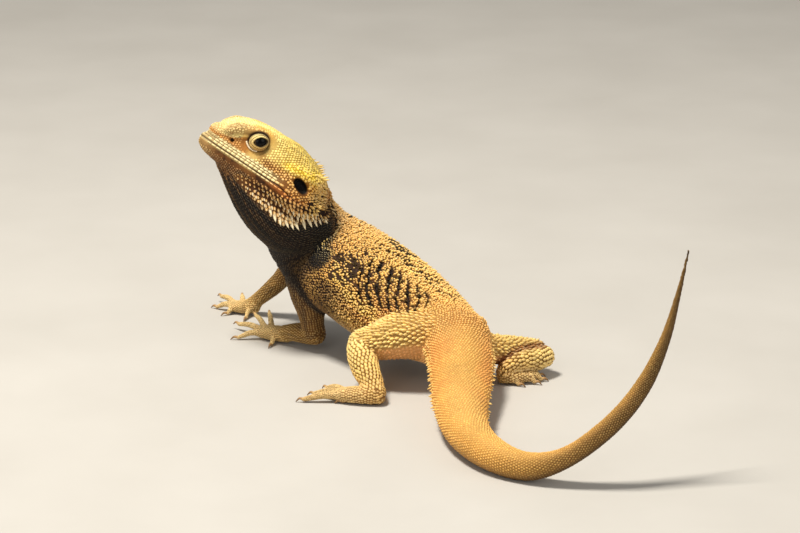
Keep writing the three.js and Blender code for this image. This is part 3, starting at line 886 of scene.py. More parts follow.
def paint_trunk(p):
    """Back, flank and belly colours along the line, with dark folds, an orange fringe and painted shade."""
    s, angle = where(bodies["trunk"], p)
    round_ = from_top(angle)
    colour = mix(table(s, STOPS, BACK), table(s, STOPS, FLANK), ramp(0.2, 1.2, round_))
    colour = mix(colour, table(s, STOPS, BELLY), ramp(1.75, 2.4, round_))
    orange = bump(5.5, 0.7, s) * bump(1.35, 0.4, round_)
    gold = bump(1.12 + 0.3 * (s - 4.4), 0.14, round_) * ramp(3.9, 4.2, s) * fade(5.4, 5.8, s)
    # Painted shadow: dark brown on the chest, and near-black in a band from the throat to the armpit.
    shaded_chest = bump(4.1, 0.7, s) * ramp(1.1, 1.4, round_) * fade(2.2, 2.6, round_)
    neck_shadow = fade(2.9, 3.7, s) * ramp(0.85, 1.1, round_ + 0.12 * (s - 3))
    rosy = 0.25 * ramp(0.4, 0.75, cloud(p, 9.0, 15)) * ramp(6.2, 7.0, s) * fade(9.5, 11, s)
    colour = layered(
        colour,
        ((222, 136, 66), 0.6 * orange * ramp(0.3, 0.6, cloud(p, 3.0, 14))),
        ((240, 204, 104), 0.7 * gold),
        ((92, 62, 30), 0.85 * shaded_chest),
        ((30, 20, 12), 0.85 * neck_shadow),
        # Painted shade in the flank's folds, over their own darker skin.
        ((46, 30, 17), 0.95 * flank_folds(s, angle, p)),
        ((230, 146, 78), rosy))
    shade = 0.9 + 0.2 * cloud(p, 7.0, 12)
    ground = np.interp(s, STOPS, GROUND) * (1 - 0.7 * shoulder_dark(s, round_))
    # Painted shade: the skin between the scales is darker in the wrinkles.
    return colour * shade[:, None], ground * (1 - 0.5 * wrinkles(s, angle, p))


# %% The belt of the beard and the ear
BELT_X = [16, 19, 27, 35.5, 43, 48, 54.5, 60.5]
BELT_LOW = [-6.5, -8.2, -10.2, -11.8, -12.8, -10.5, -6.6, -4.2]
BELT_HIGH = [-6.2, -5.2, -4, -3, -1.6, -1.2, -0.6, 0.6]
BELT_TAN = (204, 158, 92)


def beard_belt(q):
    """1 on the belt of pointed scales below the cheek, which widens backwards."""
    x, z = q[:, 0], q[:, 2]
    inside = ramp(-0.8, 0.6, z - np.interp(x, BELT_X, BELT_LOW))
    inside = inside * ramp(-0.8, 0.8, np.interp(x, BELT_X, BELT_HIGH) - z)
    return inside * ramp(16, 20, x) * fade(60, 62, x)


def ear_share(q):
    """1 on the rim of the ear's slanted oval, less inside it."""
    slant = np.radians(24)
    x, z = q[:, 0] - EAR[0], q[:, 2] - EAR[2]
    along_, across = x * np.cos(slant) - z * np.sin(slant), z * np.cos(slant) + x * np.sin(slant)
    return np.hypot(along_ / 4.1, across / 2.3)


# %% Colours of the head
def paint_head(p):
    """The face: pale crown and lips, golden brow, yellow temple, orange cheek, brown jaw."""
    q = to_head(p)
    x, side, z = q[:, 0], np.abs(q[:, 1]), q[:, 2]
    crown = [(236, 206, 138), (246, 224, 150), (250, 228, 146), (232, 204, 104), (206, 178, 80),
             (180, 144, 66)]
    colour = table(x, [0, 8, 20, 32, 44, 54], crown)
    olive = ramp(26, 34, x) * ramp(9, 12, z) * ramp(0.35, 0.7, cloud(p, 2.2, 21))
    eye_gap = np.linalg.norm(np.stack([x, side, z], -1) - EYE, axis=1)
    over, along_ = over_canthus(q)
    lore = fade(-0.8, 0.4, over) * ramp(2.8, 3.6, z) * fade(15, 18, x)
    cheek = fade(5.5, 9.0, z) * ramp(19, 26, x)
    temple = bump(10.2, 1.7, z - 0.12 * (x - 41)) * ramp(29, 35, x) * ramp(9, 13, side)
    below = bump(6.2, 2.4, z) * ramp(36, 40, x) * ramp(13, 16, side)
    lip = fade(3.4, 3.9, z) * fade(30, 36, x) * ramp(-1.1, -0.9, z)
    lines = np.maximum(bump(1.5, 0.16, z), bump(2.55, 0.16, z)) * fade(28, 34, x)
    colour = layered(
        colour,
        ((158, 138, 66), 0.6 * olive),
        ((228, 174, 74), 0.8 * fade(5.5, 9.0, eye_gap)),
        ((200, 134, 58), 0.9 * lore),
        # Painted shade: brown in the groove under the canthal ridge.
        ((150, 98, 46), 0.4 * along_ * bump(1.5, 0.35, over)),
        ((196, 136, 60), 0.85 * cheek),
        ((252, 218, 62), 0.95 * temple),
        ((222, 170, 62), 0.7 * below),
        ((236, 216, 158), lip),
        ((96, 78, 40), 0.9 * lines))
    # The lower jaw's browns: its own colour, darkened with painted shade under the raised head.
    browns = [(202, 166, 108), (148, 102, 54), (132, 88, 44), (188, 136, 72), (212, 160, 90),
              (112, 80, 44)]
    jaw_colour = table(x, [0, 7, 14, 30, 44, 56], browns)
    flecks = 0.8 * ramp(0.5, 0.72, cloud(p, 1.7, 23)) * ramp(3, 9, x)
    colour = mix(colour, layered(jaw_colour, ((84, 54, 28), flecks)), fade(-1.5, -1.0, z))
    band = bump(-1.4, 1.7, z + 0.10 * (x - 36)) * ramp(28, 33, x) * ramp(13, 17, side)
    belt = beard_belt(q) * ramp(8, 11, side)
    rear = ramp(47, 51, x) * ramp(6, 12, side) * fade(8, 12, z)
    freckles = ramp(0.8, 0.86, cloud(p, 1.4, 24)) * fade(22, 28, x) * ramp(5, 8, z)
    colour = layered(
        colour,
        ((228, 148, 62), 0.9 * band),
        (BELT_TAN, 0.85 * belt),
        ((206, 172, 96), 0.75 * rear),
        ((150, 100, 48), 0.6 * freckles),
        # Painted shade: near-black in the ear's opening, dark in the groove between the lips and inside the
        # nostril.
        ((16, 10, 7), fade(0.85, 1.1, ear_share(q)) * ramp(10, 14, side)),
        ((44, 27, 15), 0.85 * mouth_line(q)),
        ((34, 20, 12), fade(0.45, 0.9, from_nostril(q)) * ramp(3, 4.5, side)))
    ground = 0.62 - 0.24 * cheek - 0.1 * ramp(20, 26, x) * ramp(3, 6, side) - 0.2 * belt
    ground = ground - 0.62 * rear + 0.16 * fade(22, 28, x) * ramp(7, 9, z)
    return colour * (0.92 + 0.16 * cloud(p, 3.0, 22))[:, None], ground


# %% Colours of the lids and the throat
def paint_lids(p, colour):
    """Cream lids; their brown edge, the dark crease round them, thickest on top, and the almond's dark rim
    are painted shade.
    """
    for side in (1, -1):
        length, u, v, facing = eye_plane(p, side)
        near = (facing > 0.15) & (length < 7.5)
        lid = fade(0.94, 1.0, crease(u, v)) * near
        creams = [(176, 134, 70), (206, 170, 96), (222, 190, 120), (244, 222, 150)]
        shade = table(v, [-3.4, -1.5, 0.5, 3.0], creams)
        colour = colour * (1 - lid[:, None]) + shade * lid[:, None]
        # Painted shade: a brown ring in the lids' fold.
        colour = mix(colour, srgb(98, 64, 30), 0.8 * bump(1.46, 0.07, opening(u, v)) * near)
        offset = (to_head(p) - EYE * [1, side, 1]) * [1, side, 1]
        long_way, high_way = eye_axes()
        across, up = offset @ long_way, offset @ high_way
        # Painted shade: a dark ring in the crease round the lids, darker upwards.
        dark = bump(1.0, 0.12 + 0.05 * ramp(0, 3, up), np.hypot(across / 4.5, up / 4.05))
        dark = dark * (offset @ EYE_AXIS > -1) * (length < 9)
        colour = mix(colour, srgb(42, 23, 10), np.clip((0.95 + 0.06 * up) * dark, 0, 0.98))
        # Painted shade: near-black at the almond's rim, where the lid turns in.
        colour = mix(colour, srgb(26, 16, 9), fade(1.0, 1.16, opening(u, v)) * near)
    return colour


def paint_pouch(p):
    """A dark brown throat with narrow tan streaks, and the belt of the beard above them."""
    s, angle = where(bodies["pouch"], p)
    q = to_head(p)
    # The throat's own dark brown, darkened backwards with painted shade under the head and beard.
    browns = [(146, 102, 56), (102, 74, 40), (70, 51, 29), (42, 29, 17), (22, 14, 9)]
    colour = table(q[:, 0], [12, 22, 36, 50, 64], browns)
    lines = cloud(np.stack([angle * 12, s * 0.6, 0 * s], -1), 1.0, 31)
    colour = mix(colour, srgb(22, 16, 11), 0.92 * ramp(0.38, 0.58, lines) * ramp(-5, -9, q[:, 2]))
    belt = beard_belt(q)
    return layered(colour, (BELT_TAN, 0.85 * belt)), 0.3 - 0.18 * belt


# %% Colours of the legs
LEG_COLOURS = {
    "thigh": [(232, 184, 104), (244, 208, 122), (238, 204, 124)],
    "shank": [(236, 202, 122), (228, 190, 106), (216, 172, 94)],
    "foot": [(212, 170, 98), (220, 182, 114), (214, 180, 118)],
    # The arms' browns: their own olive-brown, darkened with painted shade as under the head and body.
    "upper": [(128, 94, 48), (136, 102, 52), (150, 114, 58)],
    "forearm": [(156, 120, 60), (172, 136, 72), (190, 154, 90)],
    "hand": [(206, 170, 102), (222, 188, 122), (224, 192, 130)],
}
LEG_GROUND = {"thigh": 0.4, "shank": 0.24, "foot": 0.42, "upper": 0.42, "forearm": 0.45, "hand": 0.5}


def kind_of(name):
    """The part that a body is: its name's first word, or digit for toes and fingers."""
    return "digit" if "digit" in name else name.split("_")[0]


def paint_leg(name, p):
    """Three colours along a leg part, orange-tan below the thigh, with streaks on the arms and painted
    shade below the other parts.
    """
    body = bodies[name]
    s, angle = where(body, p)
    key = name.split("_")[0]
    share = s / body.last if "digit" not in name else np.ones(len(s))
    colour = table(share, [0, 0.5, 1], LEG_COLOURS[key])
    under = from_top(angle)
    if key in ("upper", "forearm"):
        lines = cloud(np.stack([angle * 5, s * 0.9, 0 * s + len(name)], -1), 1.0, 41)
        colour = mix(colour, srgb(70, 48, 24), 0.6 * ramp(0.45, 0.75, lines))
    if key == "thigh":
        low = ramp(1.55, 1.85, under) * ramp(0.05, 0.2, share)
        colour = mix(colour, srgb(228, 168, 108), 0.9 * low)
        return colour * (0.94 + 0.12 * cloud(p, 4.0, 42))[:, None], 0.38 + 0.42 * low
    # Painted shade: the underside of each leg part is darker.
    colour = mix(colour, colour * 0.74, ramp(1.9, 2.8, under))
    return colour * (0.92 + 0.16 * cloud(p, 4.0, 42))[:, None], np.full(len(s), LEG_GROUND[key])


# %% All bodies together
BEARD_SHADOWS = [  # painted shadow in the hollows behind the beard: place in the head's frame, and reach
    ((62.5, 17, -9), (5, 8, 8)),
    ((65, 21, -17), (5, 7, 8)),
]
CONTACT_SHADOWS = [  # painted shade where one body presses on another: the two, the shade's colour and its strength
    ("thigh_right", "shank_right", (142, 78, 34), 0.85),
    ("upper_arm_left", "trunk", (30, 19, 12), 0.9),
    ("upper_arm_right", "trunk", (40, 26, 16), 0.8),
]


def paint(p, ground=False):
    """Each near body's colour, weighed by exp(-distance beyond the least / NEARNESS).

    With ground the colour is that of the skin between the scales: the marking times a share.
    """
    distances = {name: sample(block, p) for name, block in blocks.items()}
    least = np.min(list(distances.values()), axis=0)
    colour, shares, total = np.zeros((len(p), 3)), np.zeros(len(p)), np.zeros(len(p))
    for name, distance in distances.items():
        weight = np.exp(-(distance - least) / NEARNESS)
        near = weight > 0.02
        if not near.any():
            continue
        if name == "trunk":
            found, share = paint_trunk(p[near])
        elif name in ("skull", "jaw"):
            found, share = paint_head(p[near])
        elif name == "pouch":
            found, share = paint_pouch(p[near])
        else:
            found, share = paint_leg(name, p[near])
        colour[near] += weight[near, None] * found
        shares[near] += weight[near] * share
        total[near] += weight[near]
    colour, shares = colour / total[:, None], np.clip(shares / total, 0.03, 1)
    # Painted shade: the colour darkens in the crease where two bodies press together, below a height.
    for one, other, dark, strength in CONTACT_SHADOWS:
        gap = np.abs(distances[one] - distances[other])
        touch = np.maximum(distances[one], distances[other])
        here = fade(0.8, 2.8, gap) * fade(2.0, 4.0, touch) * fade(36, 42, p[:, 2])
        colour = mix(colour, srgb(*dark), strength * here)
    q = to_head(p)
    q[:, 1] = np.abs(q[:, 1])
    # Painted shadow: the colour goes near-black in the hollows behind the beard.
    for centre, reach in BEARD_SHADOWS:
        far = np.linalg.norm((q - centre) / reach, axis=1)
        colour = mix(colour, srgb(14, 9, 6), 0.95 * fade(0.55, 1.15, far))
    # The skin between the scales is darker and browner: partly its own colour, partly painted shade in the
    # gaps.
    if ground:
        colour = colour * np.stack([shares, shares**1.25, shares**1.5], -1)
    return colour


skin_colour = paint_lids(skin_shape, paint(skin_points, ground=True))
print("skin colour mean:", skin_colour.mean(0).round(3))

# %% [markdown]
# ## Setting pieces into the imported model
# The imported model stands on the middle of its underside. Where the left eye's solid lies in
# it, and where the eye lies in the animal's own frame, give the one shift between the two.

# %% Make finished pieces
eye_low, eye_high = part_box("eye_left")
shift = np.array((eye_low + eye_high) / 2) * 1000 - from_head(EYE * [1, -1, 1])
shift[2] = 0
print("shift mm:", shift.round(3))


def piece(name, points, faces, colour=None, uv=None):
    """Puts points (mm) and triangles into a mesh object that rides on the root body."""
    mesh = bpy.data.meshes.new(name)
    mesh.vertices.add(len(points))
    mesh.vertices.foreach_set("co", ((points + shift) / 1000).astype(np.float32).ravel())
    mesh.loops.add(faces.size)
    mesh.loops.foreach_set("vertex_index", faces.astype(np.int32).ravel())
    mesh.polygons.add(len(faces))
    mesh.polygons.foreach_set("loop_start", np.arange(0, faces.size, 3, dtype=np.int32))
    mesh.update(calc_edges=True)
    mesh.polygons.foreach_set("use_smooth", np.full(len(faces), True))
    if colour is not None:
        layer = mesh.color_attributes.new("markings", "FLOAT_COLOR", "POINT")
        rgba = np.c_[np.clip(colour, 0, 1), np.ones(len(points))]
        layer.data.foreach_set("color", rgba.astype(np.float32).ravel())
    if uv is not None:
        layer = mesh.uv_layers.new(name="OFBake")
        corners = uv[faces.ravel()] if len(uv) == len(points) else uv
        layer.uv.foreach_set("vector", corners.astype(np.float32).ravel())
    made = linked(name, mesh)
    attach(made, "root")
    return made


# %% [markdown]
# ## A flat map of the skin
# Each swept body unrolls to a rectangle: length one way and angle the other. The rectangles
# are packed into the unit square by halving the list again and again, the larger areas
# getting the larger share. The skin and the scales use the same kind of map.

# %% Pack the bodies' rectangles
def area_of(body):
    """Length of a body's line times its mean girth, 2 pi sqrt((w^2 + h^2) / 2)."""
    s = np.linspace(0, body.last, 20 * body.last + 1)
    centre, radii = body.ring(s)[0], body.ring(s)[4]
    girth = 2 * np.pi * np.sqrt((radii[:, 0] ** 2 + radii[:, 1:].mean(1) ** 2) / 2).mean()
    return np.linalg.norm(np.diff(centre, axis=0), axis=1).sum() * girth


def share_out(names, box=(0.0, 0.0, 1.0, 1.0)):
    """Rectangles for the named bodies: halve the list by area, and the box by its long side."""
    u, v, w, h = box
    if len(names) == 1:
        return {names[0]: (u + 0.04 * w, v + 0.04 * h, 0.92 * w, 0.92 * h)}
    areas = np.array([area_of(bodies[n]) for n in names])
    total = np.cumsum(areas) / areas.sum()
    k = int(np.clip(np.searchsorted(total, 0.5), 0, len(names) - 2)) + 1
    t = total[k - 1]
    if w > h:
        near, far = (u, v, w * t, h), (u + w * t, v, w * (1 - t), h)
    else:
        near, far = (u, v, w, h * t), (u, v + h * t, w, h * (1 - t))
    return share_out(names[:k], near) | share_out(names[k:], far)


def unrolled(rectangles, name, s, angle, span=None):
    """Map place of stations and angles in the rectangle of one body, or of a span of it."""
    u, v, w, h = rectangles[name]
    first, last = span or (0, bodies[name].last)
    across = np.clip((s - first) / (last - first), 0, 1)
    return np.stack([u + w * across, v + h * (angle / (2 * np.pi) + 0.5)], -1)


def owners(p):
    """The index of the swept body that is nearest to each point."""
    return np.argmin([sample(blocks[name], p) for name in names], axis=0)


# %% Make the skin
names = list(bodies)
owner = owners(skin_points[faces].mean(1))
rectangles = share_out(names)
skin_uv = np.zeros((len(faces), 3, 2))
for index, name in enumerate(names):
    own = owner == index
    used, back = np.unique(faces[own], return_inverse=True)
    if not own.any():
        continue
    s, angle = where(bodies[name], skin_points[used])
    s, angle = s[back].reshape(-1, 3), angle[back].reshape(-1, 3)
    angle = angle[:, :1] + (angle - angle[:, :1] + np.pi) % (2 * np.pi) - np.pi
    skin_uv[own] = unrolled(rectangles, name, s.ravel(), angle.ravel()).reshape(-1, 3, 2)
skin = piece("skin", skin_shape, faces, skin_colour, skin_uv.reshape(-1, 2))
flesh = [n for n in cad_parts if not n.startswith("eye")]
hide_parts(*flesh)
print("skin replaces", len(flesh), "solids")

# %% [markdown]
# ## Scales
# A dragon is covered with small keeled scales that point to the tail and grow to spines on
# the flanks, temples and beard. Instances would be lost, and a bump map can't break the
# outline. So one small cap of seventeen points is copied over the whole body by array
# arithmetic: roots are set in staggered rings along each limb, slid onto the skin, and each
# cap is stretched, leaned and coloured there.

# %% Roots in staggered rings
rng = np.random.default_rng(7)
PITCH = {  # stations and the spacing of the scales there in millimetres
    "trunk": ([0, 3, 4.5, 6.2, 7.4, 9, 11, 13, 15, 17, 18.3, 19],
              [1.25, 1.35, 1.4, 1.4, 1.3, 1.25, 1.25, 1.1, 1.0, 0.85, 0.7, 0.55]),
    "skull": ([0, 4, 8, 11], [0.95, 1.1, 1.3, 1.4]), "jaw": ([0, 4, 9], [0.95, 1.1, 1.3]),
    "pouch": ([0, 7], [1.25, 1.4]), "thigh": ([0, 2, 4], [1.75, 1.95, 1.8]),
    "shank": ([0, 4], [1.9, 1.6]), "foot": ([0, 3], [1.3, 1.05]), "upper": ([0, 4], [1.25, 1.2]),
    "forearm": ([0, 3], [1.2, 1.1]), "hand": ([0, 2], [1.05, 0.9]), "digit": ([0, 2], [0.9, 0.72]),
}
SQUEEZE = {"pouch": 0.8}  # closer round the body than along it
REACH = 0.66  # room that a scale keeps free round its root, as a share of its size


def ring_places(name):
    """Stations and angles a pitch apart along and round a body, odd rings turned half a step."""
    body, (stops, sizes) = bodies[name], PITCH[kind_of(name)]
    around = SQUEEZE.get(kind_of(name), 1.0)
    s = np.linspace(0, body.last, 60 * body.last + 1)
    step = np.linalg.norm(np.diff(body.ring(s)[0], axis=0), axis=1)
    pitch = np.interp(s, stops, sizes)
    count = np.r_[0, np.cumsum(step / (pitch[:-1] / around * 0.9))]
    rings = np.interp(np.arange(0.5, count[-1]), count, s)
    angles = np.linspace(-np.pi, np.pi, 121)
    grid = body.surface(np.repeat(rings, len(angles)), np.tile(angles, len(rings)))
    grid = grid.reshape(-1, len(angles), 3)
    walk = np.c_[np.zeros(len(rings)), np.cumsum(np.linalg.norm(np.diff(grid, axis=1), axis=2), 1)]
    size = np.interp(rings, stops, sizes)
    number = np.maximum(6, np.round(walk[:, -1] / (size * around))).astype(int)
    found = [np.interp((np.arange(n) + 0.5 * (i % 2)) / n * w[-1], w, angles)
             for i, (n, w) in enumerate(zip(number, walk))]
    return np.repeat(rings, number), np.concatenate(found)


# %% Which places are taken
class Crowd:
    """Which places are taken: small cells of space, filled out to the reach of each root."""

    CELL = 0.42
    MARGIN = 4  # millimetres round the voxels of the animal

    def __init__(self):
        self.low = animal[1] * VOXEL - self.MARGIN
        size = np.array(animal[0].shape) * VOXEL + 2 * self.MARGIN
        self.taken = np.zeros(np.ceil(size / self.CELL).astype(int), bool)

    def cells(self, p):
        """The cell of each point."""
        return tuple(np.floor((p - self.low) / self.CELL).astype(int).T)

    def take(self, p, reach):
        """Fills the cells nearer to each point than its reach."""
        span = int(np.ceil(reach.max(initial=0) / self.CELL))
        for step in np.ndindex(2 * span + 1, 2 * span + 1, 2 * span + 1):
            step = (np.array(step) - span) * self.CELL
            self.taken[self.cells(p[reach > np.linalg.norm(step)] + step)] = True

    def free(self, p):
        """True where a point's cell is empty."""
        return ~self.taken[self.cells(p)]


# %% Roots of the rings, the gaps and the beard's belt
GAP_CELL = 1.25  # a pass sets at most one root in a cell of this size


def flat(way, normal):
    """A direction laid flat on the skin: the way less its part along the normal."""
    return unit(way - normal * (way * normal).sum(1)[:, None])


def rooted(name, s, angle, p, normal, belt=False):
    """A body's roots as one set of arrays, with the way along the body at each."""
    body = bodies[name]
    ahead = body.surface(np.minimum(s + 0.03, body.last), angle)
    behind = body.surface(np.maximum(s - 0.03, 0), angle)
    return {"s": s, "angle": angle, "p": p, "normal": normal, "lie": flat(ahead - behind, normal),
            "size": np.interp(s, *PITCH[kind_of(name)]), "belt": np.full(len(s), belt)}


def chosen(roots, keep):
    """The roots that are kept."""
    return {key: value[keep] for key, value in roots.items()}


def on_top_of_floor(p, normal):
    """Soles pressed on the floor carry no scales."""
    return ~((p[:, 2] < 1.1) & (normal[:, 2] < -0.35))


def ring_roots(name, crowd):
    """Ring places settled on the skin, less those nearer to another body or already taken."""
    body, face = bodies[name], name in ("skull", "jaw")
    s, angle = ring_places(name)
    start = body.surface(s, angle)
    loose = 0.05 + 0.16 * fade(6.4, 7.4, s) * (name == "trunk") + 0.12 * ("thigh" in name)
    p, normal = settle(start + rng.normal(0, 1, start.shape) * loose[:, None])
    keep = np.linalg.norm(p - start, axis=1) < (6 if face else 2.6)
    keep &= sample(blocks[name], p) < closest(p) + (0.8 if face else 0.35)
    keep &= (np.abs(sample(animal, p)) < 0.4) & on_top_of_floor(p, normal)
    roots = chosen(rooted(name, s, angle, p, normal), keep)
    roots = chosen(roots, crowd.free(roots["p"]))
    crowd.take(roots["p"], REACH * roots["size"])
    return roots


def gap_roots(crowd):
    """Roots for skin still bare: free places, one a cell, in two rounds of eight passes."""
    own = owners(places)
    found = {name: [] for name in names}
    order = rng.permutation(len(places))
    order = order[on_top_of_floor(places[order], place_normals[order])]
    for parity in 2 * list(np.ndindex(2, 2, 2)):  # cells of one parity don't touch
        order = order[crowd.free(places[order])]
        cell = np.floor(places[order] / GAP_CELL).astype(int)
        mine = np.flatnonzero(((cell - parity) % 2 == 0).all(1))
        code = cell[mine] @ [1, 1000, 1000000]
        pick = order[mine[np.unique(code, return_index=True)[1]]]
        for index in np.unique(own[pick]):
            name, group = names[index], pick[own[pick] == index]
            p = places[group]
            roots = rooted(name, *where(bodies[name], p), p, place_normals[group])
            found[name].append(roots)
            crowd.take(p, REACH * roots["size"])
    return found


def belt_roots(crowd):
    """Rows of the beard's own scales below the mouth's fold, every other one shifted."""
    found = []
    for side in (1, -1):
        for j in range(8):
            x = np.arange(17.5 + 0.9 * (j % 2), 61.5, 1.8)
            z = np.interp(x, BELT_X, BELT_HIGH) - 0.5 - 1.45 * j
            w = np.interp(x, [16, 27, 36, 43, 54, 61], [11, 16.5, 19.5, 21.5, 17.5, 13.5])
            on = z > np.interp(x, BELT_X, BELT_LOW) - 0.2
            found.append(np.stack([x, side * w, z], -1)[on])
    found = np.concatenate(found)
    p, normal = settle(from_head(found + rng.normal(0, 0.13, found.shape)), 6)
    crowd.take(p, np.full(len(p), 0.8))
    return rooted("jaw", *where(bodies["jaw"], p), p, normal, belt=True)


# %% Take the roots in turn
crowd = Crowd()
beard = belt_roots(crowd)
all_roots = {name: ring_roots(name, crowd) for name in
             ["skull", "jaw", "pouch", "trunk"] + [n for n in names if n not in CORE]}
fillers = gap_roots(crowd)
print("roots in rings:", sum(len(r["s"]) for r in all_roots.values()),
      "in gaps:", sum(len(r["s"]) for group in fillers.values() for r in group))
fillers["jaw"].append(beard)
for name, group in fillers.items():
    for extra in group:
        all_roots[name] = {key: np.concatenate([value, extra[key]])
                           for key, value in all_roots[name].items()}

# %% The cap and its copies
SIDES = 8  # of a cap's outline
CAP_POINTS = 2 * SIDES + 1
CORNERS = np.arange(SIDES) * 2 * np.pi / SIDES
COSINE, SINE = np.cos(CORNERS), np.sin(CORNERS)
SINK = 0.35  # depth of the outline below the skin
PATCH = 0.0015  # half the size of one scale's patch on the map


def caps(roots, length, width, height, lean, diamond, shoulder):
    """Seventeen points a scale: a sunk outline, a raised shoulder ring and the tip.

    The outline is the superellipse cos^d, sin^d; the shoulder is a share of it at a share of
    the height, moved back with the lean, and the tip stands at full height.
    """
    n = len(roots["p"])
    length, width, height, lean, power, share = (
        np.full(n, v)[:, None] for v in (length, width, height, lean, diamond, shoulder))
    x = np.sign(COSINE) * np.abs(COSINE) ** power
    y = np.sign(SINE) * np.abs(SINE) ** power
    ring_x = np.concatenate([x, x * share + lean * 0.45, lean], 1)
    ring_y = np.concatenate([y, y * share, 0 * lean], 1)
    keel = 1 - 0.35 * np.abs(SINE)
    up = np.concatenate([np.full((n, SIDES), -SINK) / np.maximum(height, 0.05),
                         np.broadcast_to(0.72 * keel, (n, SIDES)), np.ones((n, 1))], 1)
    across = np.cross(roots["normal"], roots["lie"])
    out = roots["p"][:, None] + (ring_x * length / 2)[..., None] * roots["lie"][:, None]
    out = out + (ring_y * width / 2)[..., None] * across[:, None]
    return out + (up * height)[..., None] * roots["normal"][:, None]


def copied(one, points, n):
    """The triangles of n copies of a shape that has a given number of points."""
    return (np.arange(n)[:, None, None] * points + one).reshape(-1, 3)


def cap_faces(n):
    """Twenty-four triangles a cap: the wall between outline and shoulder, and the top."""
    k = np.arange(SIDES)
    following = (k + 1) % SIDES
    a, b = k + SIDES, following + SIDES
    wall = np.stack([k, following, b, k, b, a], -1).reshape(-1, 3)
    top = np.stack([a, b, np.full(SIDES, 2 * SIDES)], -1)
    return copied(np.vstack([wall, top]), CAP_POINTS, n)


def cap_colours(main, tip, edge):
    """Dark at the outline, the marking colour on the shoulder, and paler at the tip."""
    # Partly painted light: the dark outline is the skin's darker colour and painted shade in the gap, the
    # pale tip the scale's own pale point and a painted highlight.
    parts = [np.repeat(edge[:, None], SIDES, 1), np.repeat(main[:, None], SIDES, 1), tip[:, None]]
    return np.concatenate(parts, 1)


def patches(centre, x, y):
    """A small patch of the map at each root, in the shape of the copy seen from above."""
    return (centre[:, None] + PATCH * np.stack([x, y], -1)).reshape(-1, 2)


def cap_patches(centre):
    """A cap's patches: the outline, the shoulder at 0.6 of it and the tip in the middle."""
    return patches(centre, np.r_[COSINE, 0.6 * COSINE, 0], np.r_[SINE, 0.6 * SINE, 0])


# %% [markdown]
# ## How the scales differ
# Size, height, lean and point change with the place: flat pebbles on the crown, long narrow
# ones on the throat, large pointed ones on the thigh, ringed and keeled ones on the tail.
# A short table per body holds these. A few rules then change scales by their place: black ones
# on the shoulder, spiny ones on the flank, and flat ones round the ear and in the folds.

# %% Styles of the scales, and those of the long body
STYLES = {  # length and width by spacing, height in mm, lean, diamond, shoulder, paleness
    "trunk": (1.25, 0.9, 0.66, 0.65, 1.35, 0.5, 0.35),
    "skull": (1.06, 1.0, 0.24, 0.12, 0.9, 0.66, 0.25),
    "jaw": (1.16, 1.0, 0.34, 0.35, 1.0, 0.56, 0.25),
    "pouch": (1.7, 0.6, 0.34, 0.5, 1.3, 0.45, 0.1),
    "thigh": (1.4, 0.92, 0.85, 0.95, 1.5, 0.45, 0.55),
    "shank": (1.6, 1.0, 0.34, 0.4, 1.6, 0.76, 0.4),
    "foot": (1.4, 1.0, 0.26, 0.4, 1.3, 0.64, 0.35),
    "upper": (1.4, 0.95, 0.2, 0.5, 1.3, 0.5, 0.15),
    "forearm": (1.4, 0.95, 0.2, 0.5, 1.3, 0.52, 0.25),
    "hand": (1.2, 1.0, 0.26, 0.4, 1.1, 0.6, 0.35),
    "digit": (1.3, 1.04, 0.22, 0.35, 1.0, 0.62, 0.35),
}
STYLE_SIZE = 1.6  # spacing at which a scale has the table's height
CREAM = srgb(246, 230, 184)
DOWN_BACK = (0.55, 0.25, -0.8)  # the way the beard's spines hang, in the head's frame


def style_trunk(look, s, angle, p, n):
    """Black scales among pale ones on the shoulder, spiny ones on the flank, rings on the tail."""
    round_ = from_top(angle)
    fold = flank_folds(s, angle, p)
    dark = shoulder_dark(s, round_)
    front = fade(6.0, 7.0, s)
    belly = ramp(1.9, 2.4, round_)
    spiny = (rng.random(n) < 0.25) & (belly < 0.5)
    look["height"] *= (1 + 0.5 * front + 0.8 * front * spiny) * (1 - 0.5 * belly)
    look["length"] *= 1 + 0.22 * spiny * front
    look["width"] *= (1 - 0.14 * front) * rng.normal(1, 0.1, n)
    look["length"] *= 1 - 0.1 * front
    look["lean"] += 0.3 * front + 0.4 * front * spiny
    look["pale"] += 0.2 * spiny * front + 0.3 * dark
    tail = ramp(7.0, 8.5, s)
    look["height"] *= 1 - 0.42 * tail
    look["pale"] -= 0.2 * tail + 0.1 * ramp(10, 12, s)
    look["width"] *= 1 + 0.12 * tail
    gather = wrinkles(s, angle, p)
    # Scales in the chest's painted shadow lose their pale tips and lie flatter.
    shaded_chest = fade(4.0, 4.7, s) * ramp(0.85, 1.15, round_)
    look["pale"] *= 1 - 0.9 * shaded_chest
    look["height"] *= 1 - 0.55 * shaded_chest
    look["keep"] &= rng.random(n) > 0.05 * ramp(0.6, 1, dark)
    # Black scales: the shoulder's own marking, and painted shade in the folds and wrinkles.
    look["black"] = (rng.random(n) < 0.62 * ramp(0.3, 0.9, dark) + 0.16 * gather) | (fold > 0.4)
    look["height"] *= 1 - 0.6 * (fold > 0.4) - 0.3 * (look["black"] & (fold <= 0.4))
    look["edge"] *= 1 - 0.5 * front * (1 - shaded_chest) + 0.35 * tail + 0.25 * ramp(10, 12, s) + 0.3 * shaded_chest
    look["keep"] &= (fold < 0.6) | (rng.random(n) < 0.9)


